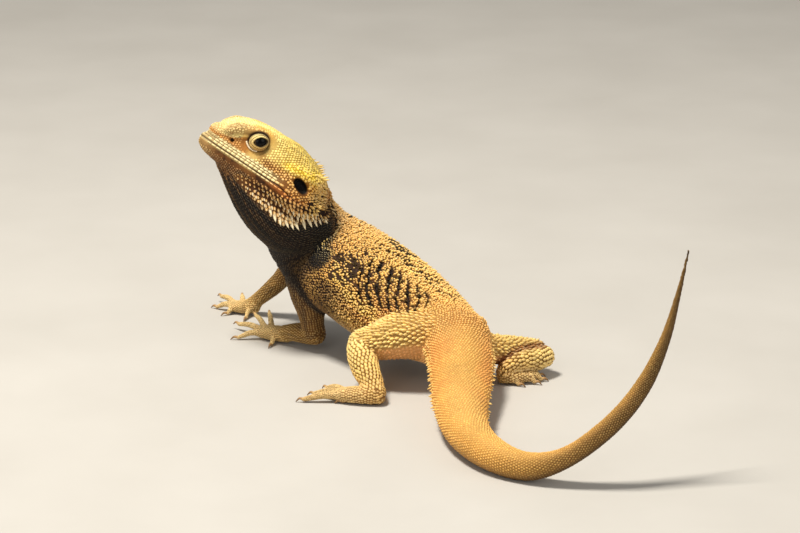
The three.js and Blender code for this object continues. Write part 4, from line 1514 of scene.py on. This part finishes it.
# %% Scales of the head and the beard
def style_head(look, p, n, roots):
    """Flat pebbles in front, spiny scales behind, and the pale pointed belt of the beard."""
    q = to_head(p)
    side = np.abs(q[:, 1])
    for k in (1, -1):
        distance, u, v, facing = eye_plane(p, k)
        look["keep"] &= ~((facing > 0.1) & (distance < 8) & (crease(u, v) < 1.36))
    look["keep"] &= (ear_share(q) > 1.12) | (side < 13)
    look["keep"] &= ~((np.abs(q[:, 2]) < 3.2) & (q[:, 0] < 37) & (side > 1.0))
    look["keep"] &= from_nostril(q) > 1.0
    rear = ramp(24, 36, q[:, 0]) * ramp(4, 9, side)
    look["edge"] *= 1.15 + 0.6 * fade(20, 30, q[:, 0]) * ramp(5, 8, q[:, 2])
    look["height"] *= 1 + 1.3 * rear
    look["lean"] += 0.45 * rear
    look["pale"] += 0.15 * rear
    behind = ramp(48, 51, q[:, 0]) * ramp(8, 12, side) * fade(7, 10, q[:, 2])
    look["keep"] &= rng.random(n) > 0.35 * behind
    look["height"] *= 1 + 1.2 * behind
    look["lean"] += 0.5 * behind
    look["edge"] *= 1 - 0.35 * rear - 0.35 * behind
    look["pale"] += 0.25 * behind
    rough = rng.normal(1, 0.12, n) * (1 + 0.14 * rear * rng.normal(0, 1, n))
    for key in ("length", "width"):
        look[key] *= np.clip(rough, 0.62, 1.3)
    smooth_ = bump(0, 2.2, ear_share(q) - 1) * ramp(12, 15, side)
    look["height"] *= 1 - 0.6 * smooth_
    belt_looks(look, q, roots)


def belt_looks(look, q, roots):
    """Scales of the beard's belt hang down, grow downwards and backwards and end in cream."""
    belt = roots["belt"]
    look["keep"] &= belt | (beard_belt(q) * ramp(7, 10, np.abs(q[:, 1])) < 0.5)
    depth = np.interp(q[:, 0], BELT_X, BELT_HIGH) - q[:, 2]
    size = np.interp(q[:, 0], [17, 28, 40, 61], [1.1, 1.5, 1.75, 1.7])
    size = size * np.interp(depth, [0, 5, 10], [0.85, 1, 1.15])
    size = size * rng.normal(1, 0.08, len(size))
    for key, factor in (("length", 1.25), ("width", 0.95), ("height", 0.5)):
        look[key] = np.where(belt, factor * size, look[key])
    look["lean"] = np.where(belt, 0.9, look["lean"])
    look["pale"] = np.where(belt, np.interp(depth, [0, 3, 8], [0.35, 0.6, 0.85]), look["pale"])
    look["edge"] = np.where(belt, 0.24, look["edge"])
    share = np.interp(depth, [0, 6], [0, 1])[:, None]
    hang = unit(np.array([0.9, 0.1, -0.35]) * (1 - share) + np.array(DOWN_BACK) * share)
    hang[:, 1] *= np.sign(q[:, 1])
    lie = np.where(belt[:, None], hang @ HEAD_TURN, roots["lie"])
    roots["lie"] = flat(lie, roots["normal"])


# %% Dress the roots with scales
def dress(name, roots):
    """The scales of one body: points, colours and map places."""
    kind, n = kind_of(name), len(roots["s"])
    p, s, angle = roots["p"], roots["s"], roots["angle"]
    long_, wide, high, lean, diamond, shoulder, pale = STYLES[kind]
    size = roots["size"] * rng.normal(1, 0.07, n)
    look = {"length": size * long_, "width": size * wide,
            "height": high * size / STYLE_SIZE * rng.normal(1, 0.15, n),
            "lean": np.full(n, lean), "pale": np.full(n, pale), "edge": np.full(n, 0.42),
            "keep": np.ones(n, bool), "black": np.zeros(n, bool)}
    roots = {**roots, "p": p + roots["normal"] * relief(p)[:, None]}
    if kind == "trunk":
        style_trunk(look, s, angle, p, n)
    elif kind in ("skull", "jaw"):
        style_head(look, p, n, roots)
    elif kind == "pouch":
        belt_looks(look, to_head(p), roots)
    elif kind == "thigh":
        low = ramp(1.55, 1.85, from_top(angle)) * ramp(0.1, 0.6, s)
        look["height"] *= 1 - 0.7 * low
        look["pale"] *= 1 - 0.7 * low
        look["edge"] += 0.3 * low
        look["length"] *= 1 - 0.3 * low
    elif kind == "shank":
        look["edge"] *= 0.7
    elif kind in ("upper", "forearm"):
        look["edge"] += 0.22
    uneven = 0.13 if kind in ("skull", "jaw") else 0.09
    main = paint(p) * rng.normal(1, uneven, (n, 1)) * rng.normal(1, 0.015, (n, 3))
    tip = mix(main, CREAM, look["pale"])
    # Painted highlight: the palest tips are brightened a little further.
    tip = tip * (1 + 0.1 * (look["pale"] > 0.4))[:, None]
    black = look["black"][:, None]
    main, tip = np.where(black, main * 0.05, main), np.where(black, main * 0.16, tip)
    edge = main * np.stack([look["edge"], look["edge"] ** 1.2, look["edge"] ** 1.4], -1)
    points = caps(roots, look["length"], look["width"], look["height"], look["lean"],
                  diamond, shoulder)
    made = {"points": points, "colour": cap_colours(main, tip, edge), "s": s, "angle": angle}
    return {"name": name, **chosen(made, look["keep"])}


def scale_piece(name, sets, span=None):
    """Joins dressed scales into one mesh with its own flat map."""
    if span:
        sets = [{key: value if key == "name" else value[(d["s"] >= span[0]) & (d["s"] < span[1])]
                 for key, value in d.items()} for d in sets]
    points = np.concatenate([d["points"] for d in sets]).reshape(-1, 3)
    colour = np.concatenate([d["colour"] for d in sets]).reshape(-1, 3)
    rectangles = share_out([d["name"] for d in sets])
    centre = [unrolled(rectangles, d["name"], d["s"], d["angle"], span) for d in sets]
    points[:, 2] = np.maximum(points[:, 2], 0.03)
    triangles = cap_faces(len(points) // CAP_POINTS)
    print(name, "scales:", len(points) // CAP_POINTS, "triangles:", len(triangles))
    return piece(name, points, triangles, colour, cap_patches(np.concatenate(centre)))


dressed = {name: dress(name, roots) for name, roots in all_roots.items() if len(roots["s"])}
legs = {side: [d for name, d in dressed.items() if side in name] for side in ("left", "right")}
scale_pieces = [scale_piece(name, sets, span) for name, sets, slot, span in (
    ("scales_shoulders", [dressed["trunk"]], "skin_gold", (0, 4.8)),
    ("scales_flanks", [dressed["trunk"]], "skin_gold", (4.8, 7.2)),
    ("scales_tail_base", [dressed["trunk"]], "skin_gold", (7.2, 11.2)),
    ("scales_tail_end", [dressed["trunk"]], "skin_tan", (11.2, 19.01)),
    ("scales_head", [dressed["skull"], dressed["jaw"]], "skin_yellow", None),
    ("scales_throat", [dressed["pouch"]], "skin_throat", None),
    ("scales_left_legs", legs["left"], "skin_yellow", None),
    ("scales_right_legs", legs["right"], "skin_yellow", None),
)]

# %% [markdown]
# ## Spines
# Rows of longer, conical spines edge the beard, crown the temples, fringe the flanks and
# stand at the tail's base. Each is a bent cone: rings that shrink along a line curving
# back. They are few, so each row is placed by name.

# %% The shape of a spine
CONE_RINGS, CONE_SIDES = 4, 6
CONE_POINTS = CONE_RINGS * CONE_SIDES + 1
CONE_STEPS = np.linspace(0, 1, CONE_RINGS + 1)[:-1]
CONE_ANGLES = np.arange(CONE_SIDES) * 2 * np.pi / CONE_SIDES


def cones(root, along_, bend, length, radius):
    """Bent cones: ring j sits at length * t, is pushed by bend * t^2 and shrinks as 1 - t^1.8."""
    n = len(root)
    t, k = CONE_STEPS, CONE_ANGLES
    helper = np.where(np.abs(along_[:, 2:]) > 0.9, [[1.0, 0, 0]], [[0, 0, 1.0]])
    a = unit(np.cross(along_, helper))
    b = np.cross(along_, a)
    centre = root[:, None] + along_[:, None] * (length[:, None] * t)[..., None]
    centre = centre + bend[:, None] * (length[:, None] * t**2)[..., None]
    r = radius[:, None] * (1 - t**1.8)
    ring = np.cos(k)[:, None] * a[:, None, None] + np.sin(k)[:, None] * b[:, None, None]
    body = centre[:, :, None] + ring * r[..., None, None]
    tip = root + (along_ + bend) * length[:, None]
    return np.concatenate([body.reshape(n, -1, 3), tip[:, None]], 1)


def cone_faces(n):
    """Triangles of the cones: the walls between rings, the top and the foot."""
    k = np.arange(CONE_SIDES)
    following = (k + 1) % CONE_SIDES
    walls = []
    for j in range(CONE_RINGS - 1):
        a, b = j * CONE_SIDES + k, j * CONE_SIDES + following
        c, d = b + CONE_SIDES, a + CONE_SIDES
        walls.append(np.stack([a, b, c, a, c, d], -1).reshape(-1, 3))
    end = (CONE_RINGS - 1) * CONE_SIDES
    top = np.stack([end + k, end + following, 0 * k + CONE_POINTS - 1], -1)
    foot = np.stack([0 * k[1:-1], k[2:], k[1:-1]], -1)
    return copied(np.vstack(walls + [top, foot]), CONE_POINTS, n)


# %% Rows of spines on the head
def row(stops, count, wobble=0.25):
    """Points spread evenly along a line of stops, with a little wobble."""
    stops = np.array(stops, float)
    walk = walked(stops[:, :3])
    at = np.linspace(0, walk[-1], count) + rng.normal(0, wobble, count)
    return np.stack([np.interp(at, walk, stops[:, k]) for k in range(stops.shape[1])], -1)


spine_sets = []


def spines_on_head(stops, count, direction, radius):
    """A row on both sides of the head. Stops are back, side, up and the spines' length."""
    for side in (1, -1):
        found = row(stops, count)
        p, normal = settle(from_head(found[:, :3] * [1, side, 1]), 6)
        aim = unit(np.array(direction) * [1, side, 1] + rng.normal(0, 0.07, (count, 3))) @ HEAD_TURN
        aim = unit(aim + 0.45 * normal)
        curve = np.repeat((np.array(BEND) * [1, side, 1])[None] @ HEAD_TURN, count, 0)
        length = found[:, 3] * rng.normal(1, 0.1, count)
        thick = radius * (0.55 + 0.45 * length / 3)
        spine_sets.append((p - normal * 0.3, aim, curve, length, thick))


BEND = (0.1, 0, 0.06)
BEARD_ROWS = [  # stops of back, side, up and length; how many; thickness
    ([(24, 13.5, -8, 1.0), (33, 17, -9.6, 2.2), (38, 19, -10.8, 3.9), (43, 20, -11.2, 4.8),
      (48, 19.5, -9.4, 4.2), (54.4, 16.8, -5.6, 3.4), (60, 14, -3, 2.6)], 16, 0.78),
    ([(27, 15.5, -7, 0.9), (36, 18.8, -8.7, 2.1), (43, 20.8, -9, 3.1), (49, 20, -7, 2.8),
      (55, 17.5, -3.7, 2.3), (60.5, 14.5, -1.2, 1.9)], 16, 0.66),
    ([(30, 16.5, -5.8, 0.8), (38, 19.5, -6.7, 1.5), (45, 21.3, -6.5, 2.2), (51, 20, -4.3, 2.0),
      (57, 17, -1.5, 1.8)], 14, 0.6),
]
CROWN_ROWS = [  # temple, back of the head and behind the ear: stops, how many, way and thickness
    ([(34, 16.8, 10.2, 0.8), (42, 18.2, 11, 1.4), (50, 15.4, 12, 3.0)], 10, (0.9, 0.3, 0.45), 0.66),
    ([(49, 1.2, 13.4, 2.4), (50, 6, 13.2, 2.6), (51, 11, 12.6, 2.8)], 5, (0.8, 0.1, 0.6), 0.62),
    ([(53, 15, 9, 2.4), (54, 17, 5, 2.0), (54, 18.5, 1, 2.2), (54, 19, -3, 2.2)], 8,
     (0.85, 0.5, 0.1), 0.52),
]
for stops, count, radius in BEARD_ROWS:
    spines_on_head(stops, count, DOWN_BACK, radius)
BEARD_SETS = len(spine_sets)
for stops, count, way, radius in CROWN_ROWS:
    spines_on_head(stops, count, way, radius)
HEAD_SETS = len(spine_sets)
print("rows of spines on the head:", HEAD_SETS)


# %% Rows of spines on the body
def spines_on_body(stops, count, length, radius, back=0.8):
    """A row along both flanks through stops of station and radians from the top."""
    stops = np.array(stops, float)
    for side in (1, -1):
        t = np.linspace(0, 1, count)
        spread = np.linspace(0, 1, len(stops))
        s = np.interp(t, spread, stops[:, 0]) + rng.normal(0, 0.015, count)
        angle = np.pi / 2 + side * (np.interp(t, spread, stops[:, 1]) + rng.normal(0, 0.03, count))
        body = bodies["trunk"]
        p, normal = settle(body.surface(s, angle))
        lie = unit(body.surface(s + 0.03, angle) - body.surface(s - 0.03, angle))
        aim = unit(normal + back * lie + rng.normal(0, 0.08, (count, 3)))
        keep = sample(blocks["trunk"], p) < closest(p) + 0.6
        size = length * np.sin(np.pi * (0.16 + 0.68 * t)) ** 0.5 * rng.normal(1, 0.12, count)
        made = (p - normal * 0.35, aim, 0.12 * lie, size, radius * np.ones(count))
        spine_sets.append(tuple(v[keep] for v in made))


BODY_ROWS = [  # stops of station and radians from the top, how many, length, thickness
    ([(3.8, 0.8), (4.3, 0.94), (4.8, 1.2), (5.1, 1.36), (5.6, 1.42), (6.2, 1.45)], 34, 2.1, 0.6),
    ([(4.0, 0.7), (4.6, 0.98), (5.1, 1.18), (5.6, 1.24), (6.2, 1.25)], 30, 1.6, 0.55),
    ([(3.9, 0.95), (4.3, 1.1), (4.8, 1.34), (5.2, 1.48), (5.7, 1.55)], 26, 1.6, 0.55),
    ([(4.8, 1.45), (5.5, 1.6), (6.1, 1.65)], 14, 2.0, 0.5),
    ([(7.2, 1.4), (8.5, 1.52), (10.6, 1.62)], 34, 2.3, 0.56, 0.5),
    ([(7.4, 1.2), (8.6, 1.32), (10.2, 1.42)], 26, 1.5, 0.5),
    ([(0.9, 0.5), (2.6, 0.4), (4.2, 0.35)], 16, 1.7, 0.5),
    ([(0.9, 1.0), (2.8, 0.8), (3.6, 0.7)], 14, 1.7, 0.5),
    ([(0.9, 0.12), (2.6, 0.1), (4.6, 0.1)], 20, 1.4, 0.45),
]
for line in BODY_ROWS:
    spines_on_body(*line)

# %% Make the spines
root, aim, curve, length, radius = (np.concatenate(v) for v in zip(*spine_sets))
points = cones(root, aim, curve, length, radius)
main = paint(root)
steps = np.r_[np.repeat(CONE_STEPS, CONE_SIDES), 1.0]
on_head = np.arange(len(root)) < sum(len(v[0]) for v in spine_sets[:HEAD_SETS])
in_beard = np.arange(len(root)) < sum(len(v[0]) for v in spine_sets[:BEARD_SETS])
pale = np.where(in_beard[:, None], srgb(250, 238, 202), srgb(238, 204, 126))[:, None]
foot_share = ((1 - steps) ** 3)[:, None]
colour = main[:, None] * 0.5 * foot_share + (0.12 * main[:, None] + 0.88 * pale) * (1 - foot_share)
rectangles = share_out(["trunk", "skull"])
centre = np.zeros((len(root), 2))
for on, name in ((on_head, "skull"), (~on_head, "trunk")):
    centre[on] = unrolled(rectangles, name, *where(bodies[name], root[on]))
turns = [np.r_[np.tile(v, CONE_RINGS), 0] for v in (np.cos(CONE_ANGLES), np.sin(CONE_ANGLES))]
uv = patches(centre, (1 - steps) * turns[0], (1 - steps) * turns[1])
spines = piece("spines", points.reshape(-1, 3), cone_faces(len(root)),
               colour.reshape(-1, 3), uv)
print("spines:", len(root))

# %% [markdown]
# ## Lips and lids
# Neat plates run along both lips, and beads ring the lids. They come from the same cap as the
# scales, but their roots follow a line.

# %% Plates of the lips
line_sets = []


def plates(p, normal, way, length, width, height, colour, pale=0.3, lean=0.0, square=0.85,
           shoulder=0.7, dark=0.5):
    """Caps with roots on a given line, added to the list of face plates."""
    roots = {"p": p, "normal": normal, "lie": flat(way, normal)}
    height = height * rng.normal(1, 0.08, len(p))
    points = caps(roots, length, width, height, lean, square, shoulder)
    main = colour * rng.normal(1, 0.06, (len(p), 1))
    edge = main * [dark, 0.85 * dark, 0.7 * dark]
    tip = mix(main, CREAM, np.full(len(p), pale))
    line_sets.append((points, cap_colours(main, tip, edge)))


LIP_ROWS = [  # height over the mouth line, first and last place back, plate height, thickness
    (0.92, 1.5, 36, 1.0, 0.16),
    (1.98, 3, 33, 0.95, 0.15),
    (3.0, 5, 29, 0.85, 0.14),
    (-0.72, 0.8, 37, 0.55, 0.2),
]
for side in (1, -1):
    for j, (height, first, last, tall, thick) in enumerate(LIP_ROWS):
        x = np.arange(first + 0.8 * (j % 2), last, 2.1)
        rows = SKULL if height > 0 else JAW
        w = np.interp(x, [r[0] for r in rows], [r[1] for r in rows])
        found, _ = settle(from_head(np.stack([x, side * w, 0 * x + height], -1)), 6)
        way = np.gradient(found, axis=0)
        plates(*settle(found, 6), way, 2.3, tall, thick, paint(found), square=0.35, shoulder=0.86, dark=0.6)
print("lip plates:", sum(len(v[0]) for v in line_sets))

# %% Beads of the lids
LID_RINGS = [  # share of the way from the almond to the crease, how many beads, their size
    (0.0, 26, 0.62),
    (0.42, 30, 0.66),
    (0.8, 32, 0.72),
]


def lid_frame(side):
    """The eye's centre and its long, high and outward directions in the animal's frame."""
    local = np.stack([*eye_axes(), EYE_AXIS])
    return from_head(EYE * [1, side, 1]), (local * [1, side, 1]) @ HEAD_TURN


def lid_ray(u, v, long_way, high_way, out_way):
    """The way from the eye's centre to arcs u and v: the depth is arc / tan(arc / radius)."""
    arc = np.hypot(u, v)
    depth = arc / np.tan(arc / EYE_RADIUS)
    return unit(u[:, None] * long_way + v[:, None] * high_way + depth[:, None] * out_way)


for side in (1, -1):
    centre, ways = lid_frame(side)
    for share, count, size in LID_RINGS:
        a = np.arange(count) * 2 * np.pi / count
        turn = np.stack([np.cos(a), np.sin(a)], -1)
        power = 2 / ALMOND * (1 - share) + share
        inner = np.sign(turn) * np.abs(turn) ** power * OPEN_HALF * 1.2
        outer = turn * CREASE_HALF * 0.9
        u, v = ((inner + [OPEN_SHIFT, 0]) * (1 - share) + outer * share).T
        ray = lid_ray(u, v, *ways)
        p = centre + ray * (EYE_RADIUS + lid_height(u, v) - 0.05)[:, None]
        plates(p, ray, np.gradient(p, axis=0), size * 1.1, size, 0.16, paint_lids(p, paint(p)))
    a = np.radians(np.arange(178, 262, 8))  # a short row of long pale beads below the lids
    u, v = np.cos(a) * CREASE_HALF[0] * 1.34, np.sin(a) * CREASE_HALF[1] * 1.34
    found, _ = settle(centre + lid_ray(u, v, *ways) * EYE_RADIUS, 6)
    cream = np.tile(srgb(246, 228, 196), (len(found), 1))
    plates(*settle(found, 6), np.gradient(found, axis=0), 0.85, 0.8, 0.3, cream, 0.5, 0.1,
           shoulder=0.72)

points, colour = (np.concatenate(v) for v in zip(*line_sets))
uv = cap_patches(unrolled(share_out(["skull"]), "skull", *where(bodies["skull"], points[:, -1])))
face_plates = piece("face_plates", points.reshape(-1, 3), cap_faces(len(points)),
                    colour.reshape(-1, 3), uv)
print("face plates:", len(points))

# %% [markdown]
# ## Claws
# Each toe ends in a dark, curved claw. They are the same swept bodies as the limbs, small
# and smooth, joined into one piece.

# %% Join the claws
claw_points, claw_faces, claw_colour = [], [], []
for claw in claws:
    points, triangles = claw.shell(sides=12, per_station=4)
    claw_faces.append(triangles + sum(map(len, claw_points)))
    claw_points.append(points)
    t = np.clip(where(claw, points)[0] / claw.last, 0, 1)
    claw_colour.append(table(t, [0, 0.5, 1], [(206, 170, 118), (168, 130, 84), (104, 76, 48)]))
points = np.vstack(claw_points)
points[:, 2] = np.maximum(points[:, 2], 0.02)
claw_piece = piece("claws", points, np.vstack(claw_faces), np.vstack(claw_colour))
print("claw triangles:", len(claw_piece.data.polygons))

# %% [markdown]
# ## Eyes
# The eyeball is a fine ball with a slight swelling over the pupil. Only the almond between the
# lids shows, so the iris is painted by distance from the eye's axis rather than modelled.

# %% Build the eyeballs
eyes = {}
for name, side in (("eyeball_left", -1), ("eyeball_right", 1)):
    centre, (_, _, out_way) = lid_frame(side)
    ball, triangles = egg(np.zeros(3), np.ones(3), rings=46, sides=64)
    facing = ball @ out_way
    swell = EYE_RADIUS - 0.02 + 0.18 * ramp(0.80, 1.0, facing)
    eyes[name] = piece(name, centre + ball * swell[:, None], triangles)
    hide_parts(name.replace("eyeball", "eye"))

# %% [markdown]
# ## Finishes
# Scales are dry horn: a soft gloss on worn keels, matt between them. The marking colours come
# with the mesh, and noise adds the fine grain that a vertex can't hold. Shader sums are written
# as plain Python on a small class, which turns each operator into a node.

# %% Shader sums
class Socket:
    """One output of a node, with the operators that the finishes use."""

    def __init__(self, bench, output):
        self.bench, self.output = bench, output

    def maths(self, operation, *values):
        """A Math node on this bench."""
        return self.bench.add("Math", {"operation": operation}, dict(enumerate(values)))

    def __add__(self, other):
        return self.maths("ADD", self, other)

    def __sub__(self, other):
        return self.maths("SUBTRACT", self, other)

    def __rsub__(self, other):
        return self.maths("SUBTRACT", other, self)

    def __mul__(self, other):
        return self.maths("MULTIPLY", self, other)

    __radd__, __rmul__ = __add__, __mul__


class Bench:
    """A material being made: add() places a node, sets it, and links or sets its sockets."""

    def __init__(self, name):
        self.material = bpy.data.materials.new(name)
        self.material.use_nodes = True
        self.tree = self.material.node_tree
        self.shader = self.tree.nodes["Principled BSDF"]

    def add(self, kind, settings, sockets, output=0):
        """A node of a kind: its settings first, then its sockets. Gives one of its outputs."""
        node = self.tree.nodes.new("ShaderNode" + kind)
        for key, value in settings.items():
            if key == "stops":
                ramp_ = node.color_ramp
                while len(ramp_.elements) < len(value):
                    ramp_.elements.new(0.5)
                for element, (position, colour) in zip(ramp_.elements, value):
                    element.position, element.color = position, (*colour, 1)
            else:
                setattr(node, key, value)
        for key, value in sockets.items():
            self.put(node.inputs[key], value)
        return Socket(self, node.outputs[output])

    def put(self, socket, value):
        """Links a socket to an output, or sets its value."""
        if isinstance(value, Socket):
            self.tree.links.new(value.output, socket)
        else:
            socket.default_value = value

    def finish(self, **sockets):
        """Puts the last values into the shader and gives the material."""
        for key, value in sockets.items():
            self.put(self.shader.inputs[key.replace("_", " ")], value)
        return self.material


# %% Horn and skin finishes
def marked_finish(name, grain, depth, rough, spread, contrast):
    """Marking colours times a fine grain, with a pebbled bump of cells grain metres across."""
    bench = Bench(name)
    place = bench.add("TexCoord", {}, {}, "Object")
    markings = bench.add("Attribute", {"attribute_name": "markings"}, {}, "Color")
    fine = bench.add("TexNoise", {},
                     {"Vector": place, "Scale": 0.9 / grain, "Detail": 3.0, "Roughness": 0.6}, 0)
    cells = bench.add("TexVoronoi", {"feature": "F1"},
                      {"Vector": place, "Scale": 1 / grain}, "Distance")
    tone = bench.add("MapRange", {}, {
        "Value": fine, "From Min": 0.3, "From Max": 0.7, "To Min": 1 - contrast, "To Max": 1 + contrast}, 0)
    grey = bench.add("CombineColor", {}, {0: tone, 1: tone, 2: tone})
    base = bench.add("Mix", {"data_type": "RGBA", "blend_type": "MULTIPLY"},
                     {0: 1.0, 6: markings, 7: grey}, 2)
    height = fine * 0.5 + (1 - cells) * 0.8
    normal = bench.add("Bump", {}, {"Strength": 0.6, "Distance": depth, "Height": height})
    roughness = fine * spread + (rough - 0.5 * spread)
    bench.put(bench.shader.inputs["Specular IOR Level"], 0.22)
    return bench.finish(Base_Color=base, Roughness=roughness, Normal=normal)


FINISHES = [  # pieces, name, size and depth of the grain in metres, roughness, spread, contrast
    ([skin], "skin_finish", 0.0005, 0.00012, 0.68, 0.2, 0.16),
    ([*scale_pieces, face_plates], "scale_finish", 0.00035, 0.00004, 0.50, 0.25, 0.12),
    ([spines], "spine_finish", 0.0004, 0.00003, 0.42, 0.2, 0.1),
    ([claw_piece], "claw_finish", 0.0006, 0.00002, 0.32, 0.2, 0.15),
]
for pieces, *look in FINISHES:
    finish = marked_finish(*look)
    for made in pieces:
        made.data.materials.append(finish)
print("finishes:", len(FINISHES))


# %% Eye finish
IRIS_REACH = 5.0  # millimetres from the axis where the ramp ends
PUPIL = (0.001, 0.001, 0.001)
IRIS = [(0.0, PUPIL), (0.42, PUPIL), (0.46, (0.05, 0.028, 0.009)), (0.52, (0.07, 0.038, 0.011)),
        (0.58, (0.02, 0.011, 0.005)), (0.64, (0.006, 0.004, 0.002))]


def eye_finish(name, side):
    """Rings by distance from the axis: black pupil, thin brown-gold iris, dark rim."""
    bench = Bench(name)
    centre, (long_way, _, out_way) = lid_frame(side)
    centre = (centre + shift + OPEN_SHIFT * long_way) / 1000
    place = bench.add("TexCoord", {}, {}, "Object")
    offset = bench.add("VectorMath", {"operation": "SUBTRACT"}, {0: place, 1: tuple(centre)})
    axial = bench.add("VectorMath", {"operation": "CROSS_PRODUCT"},
                      {0: offset, 1: tuple(out_way)})
    away = bench.add("VectorMath", {"operation": "LENGTH"}, {0: axial}, "Value")
    streaks = bench.add("TexNoise", {}, {"Vector": place, "Scale": 2600.0, "Detail": 2.0}, 0)
    ring = away * (1000 / IRIS_REACH) + (streaks - 0.5) * 0.03
    colour = bench.add("ValToRGB", {"stops": IRIS}, {"Fac": ring})
    bench.put(bench.shader.inputs["Coat Weight"], 0.12)
    bench.put(bench.shader.inputs["Specular IOR Level"], 0.1)
    bench.put(bench.shader.inputs["Coat Roughness"], 0.04)
    return bench.finish(Base_Color=colour, Roughness=streaks * 0.1 + 0.12)


for name, side in (("eyeball_left", -1), ("eyeball_right", 1)):
    eyes[name].data.materials.append(eye_finish(name + "_finish", side))

# %% [markdown]
# ## Floor, light and camera
# A plain pale floor, a warm light from above that throws the shadow under the body, and two
# broad weak ones in front and at the right that open it. The camera stands low and far, with a
# long lens, so that the body isn't stretched.

# %% The floor
HALF = 4  # metres from the middle to the floor's edge
floor_mesh = bpy.data.meshes.new("floor")
corners = [(-HALF, -HALF, 0), (HALF, -HALF, 0), (HALF, HALF, 0), (-HALF, HALF, 0)]
floor_mesh.from_pydata(corners, [], [(0, 1, 2, 3)])
floor = linked("floor", floor_mesh)
floor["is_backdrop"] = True
bench = Bench("floor_finish")
place = bench.add("TexCoord", {}, {}, "Object")
mottle = bench.add("TexNoise", {}, {"Vector": place, "Scale": 14.0, "Detail": 4.0}, 0)
greys = [(0.3, (0.50, 0.48, 0.445)), (0.7, (0.54, 0.52, 0.485))]
colour = bench.add("ValToRGB", {"stops": greys}, {"Fac": mottle})
floor_mesh.materials.append(bench.finish(Base_Color=colour, Roughness=0.85))


# %% The lights
WARM, PALE = (1.0, 0.95, 0.86), (1.0, 0.97, 0.92)


def light(name, place, energy, size, colour):
    """A square area light aimed at the animal."""
    data = bpy.data.lights.new(name, "AREA")
    data.energy, data.size, data.color = energy, size, colour
    made = linked(name, data)
    made.location = Vector(place)
    made.rotation_euler = (Vector((0, 0, 0.04)) - made.location).to_track_quat("-Z", "Y").to_euler()


light("key", (-0.30, -0.10, 1.1), 17.0, 0.22, WARM)
light("fill", (-0.5, -1.1, 0.6), 3.5, 0.9, PALE)
light("side", (1.0, -0.5, 0.6), 3.0, 0.8, PALE)
world = bpy.data.worlds.new("studio")
world.use_nodes = True
sky = world.node_tree.nodes["Background"]
sky.inputs["Color"].default_value = (*PALE, 1)
sky.inputs["Strength"].default_value = 0.28
bpy.context.scene.world = world
print("lights:", len(bpy.data.lights))

# %% The camera
LOOK = np.array([-26, 20, 46.63])  # the point in the middle of the view
VIEW_RISE = 18  # degrees above the horizon
VIEW_AWAY = 1300
LENS = 139.23

rise = np.radians(VIEW_RISE)
toward = np.array([0, np.cos(rise), -np.sin(rise)])
camera_data = bpy.data.cameras.new("camera")
camera_data.sensor_width = 36
camera_data.lens = LENS
camera_data.clip_start = 0.05
camera = linked("camera", camera_data)
camera.location = Vector((LOOK - toward * VIEW_AWAY + shift) / 1000)
camera.rotation_euler = Vector(toward).to_track_quat("-Z", "Y").to_euler()
bpy.context.scene.camera = camera
bpy.context.scene.view_settings.view_transform = "Standard"

# %% Compare the sizes and finish
new_low, new_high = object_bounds()
for title, low, high in (("solids", cad_low, cad_high), ("scene", new_low, new_high)):
    print(title, "box mm:", [round(v * 1000, 1) for v in high - low])
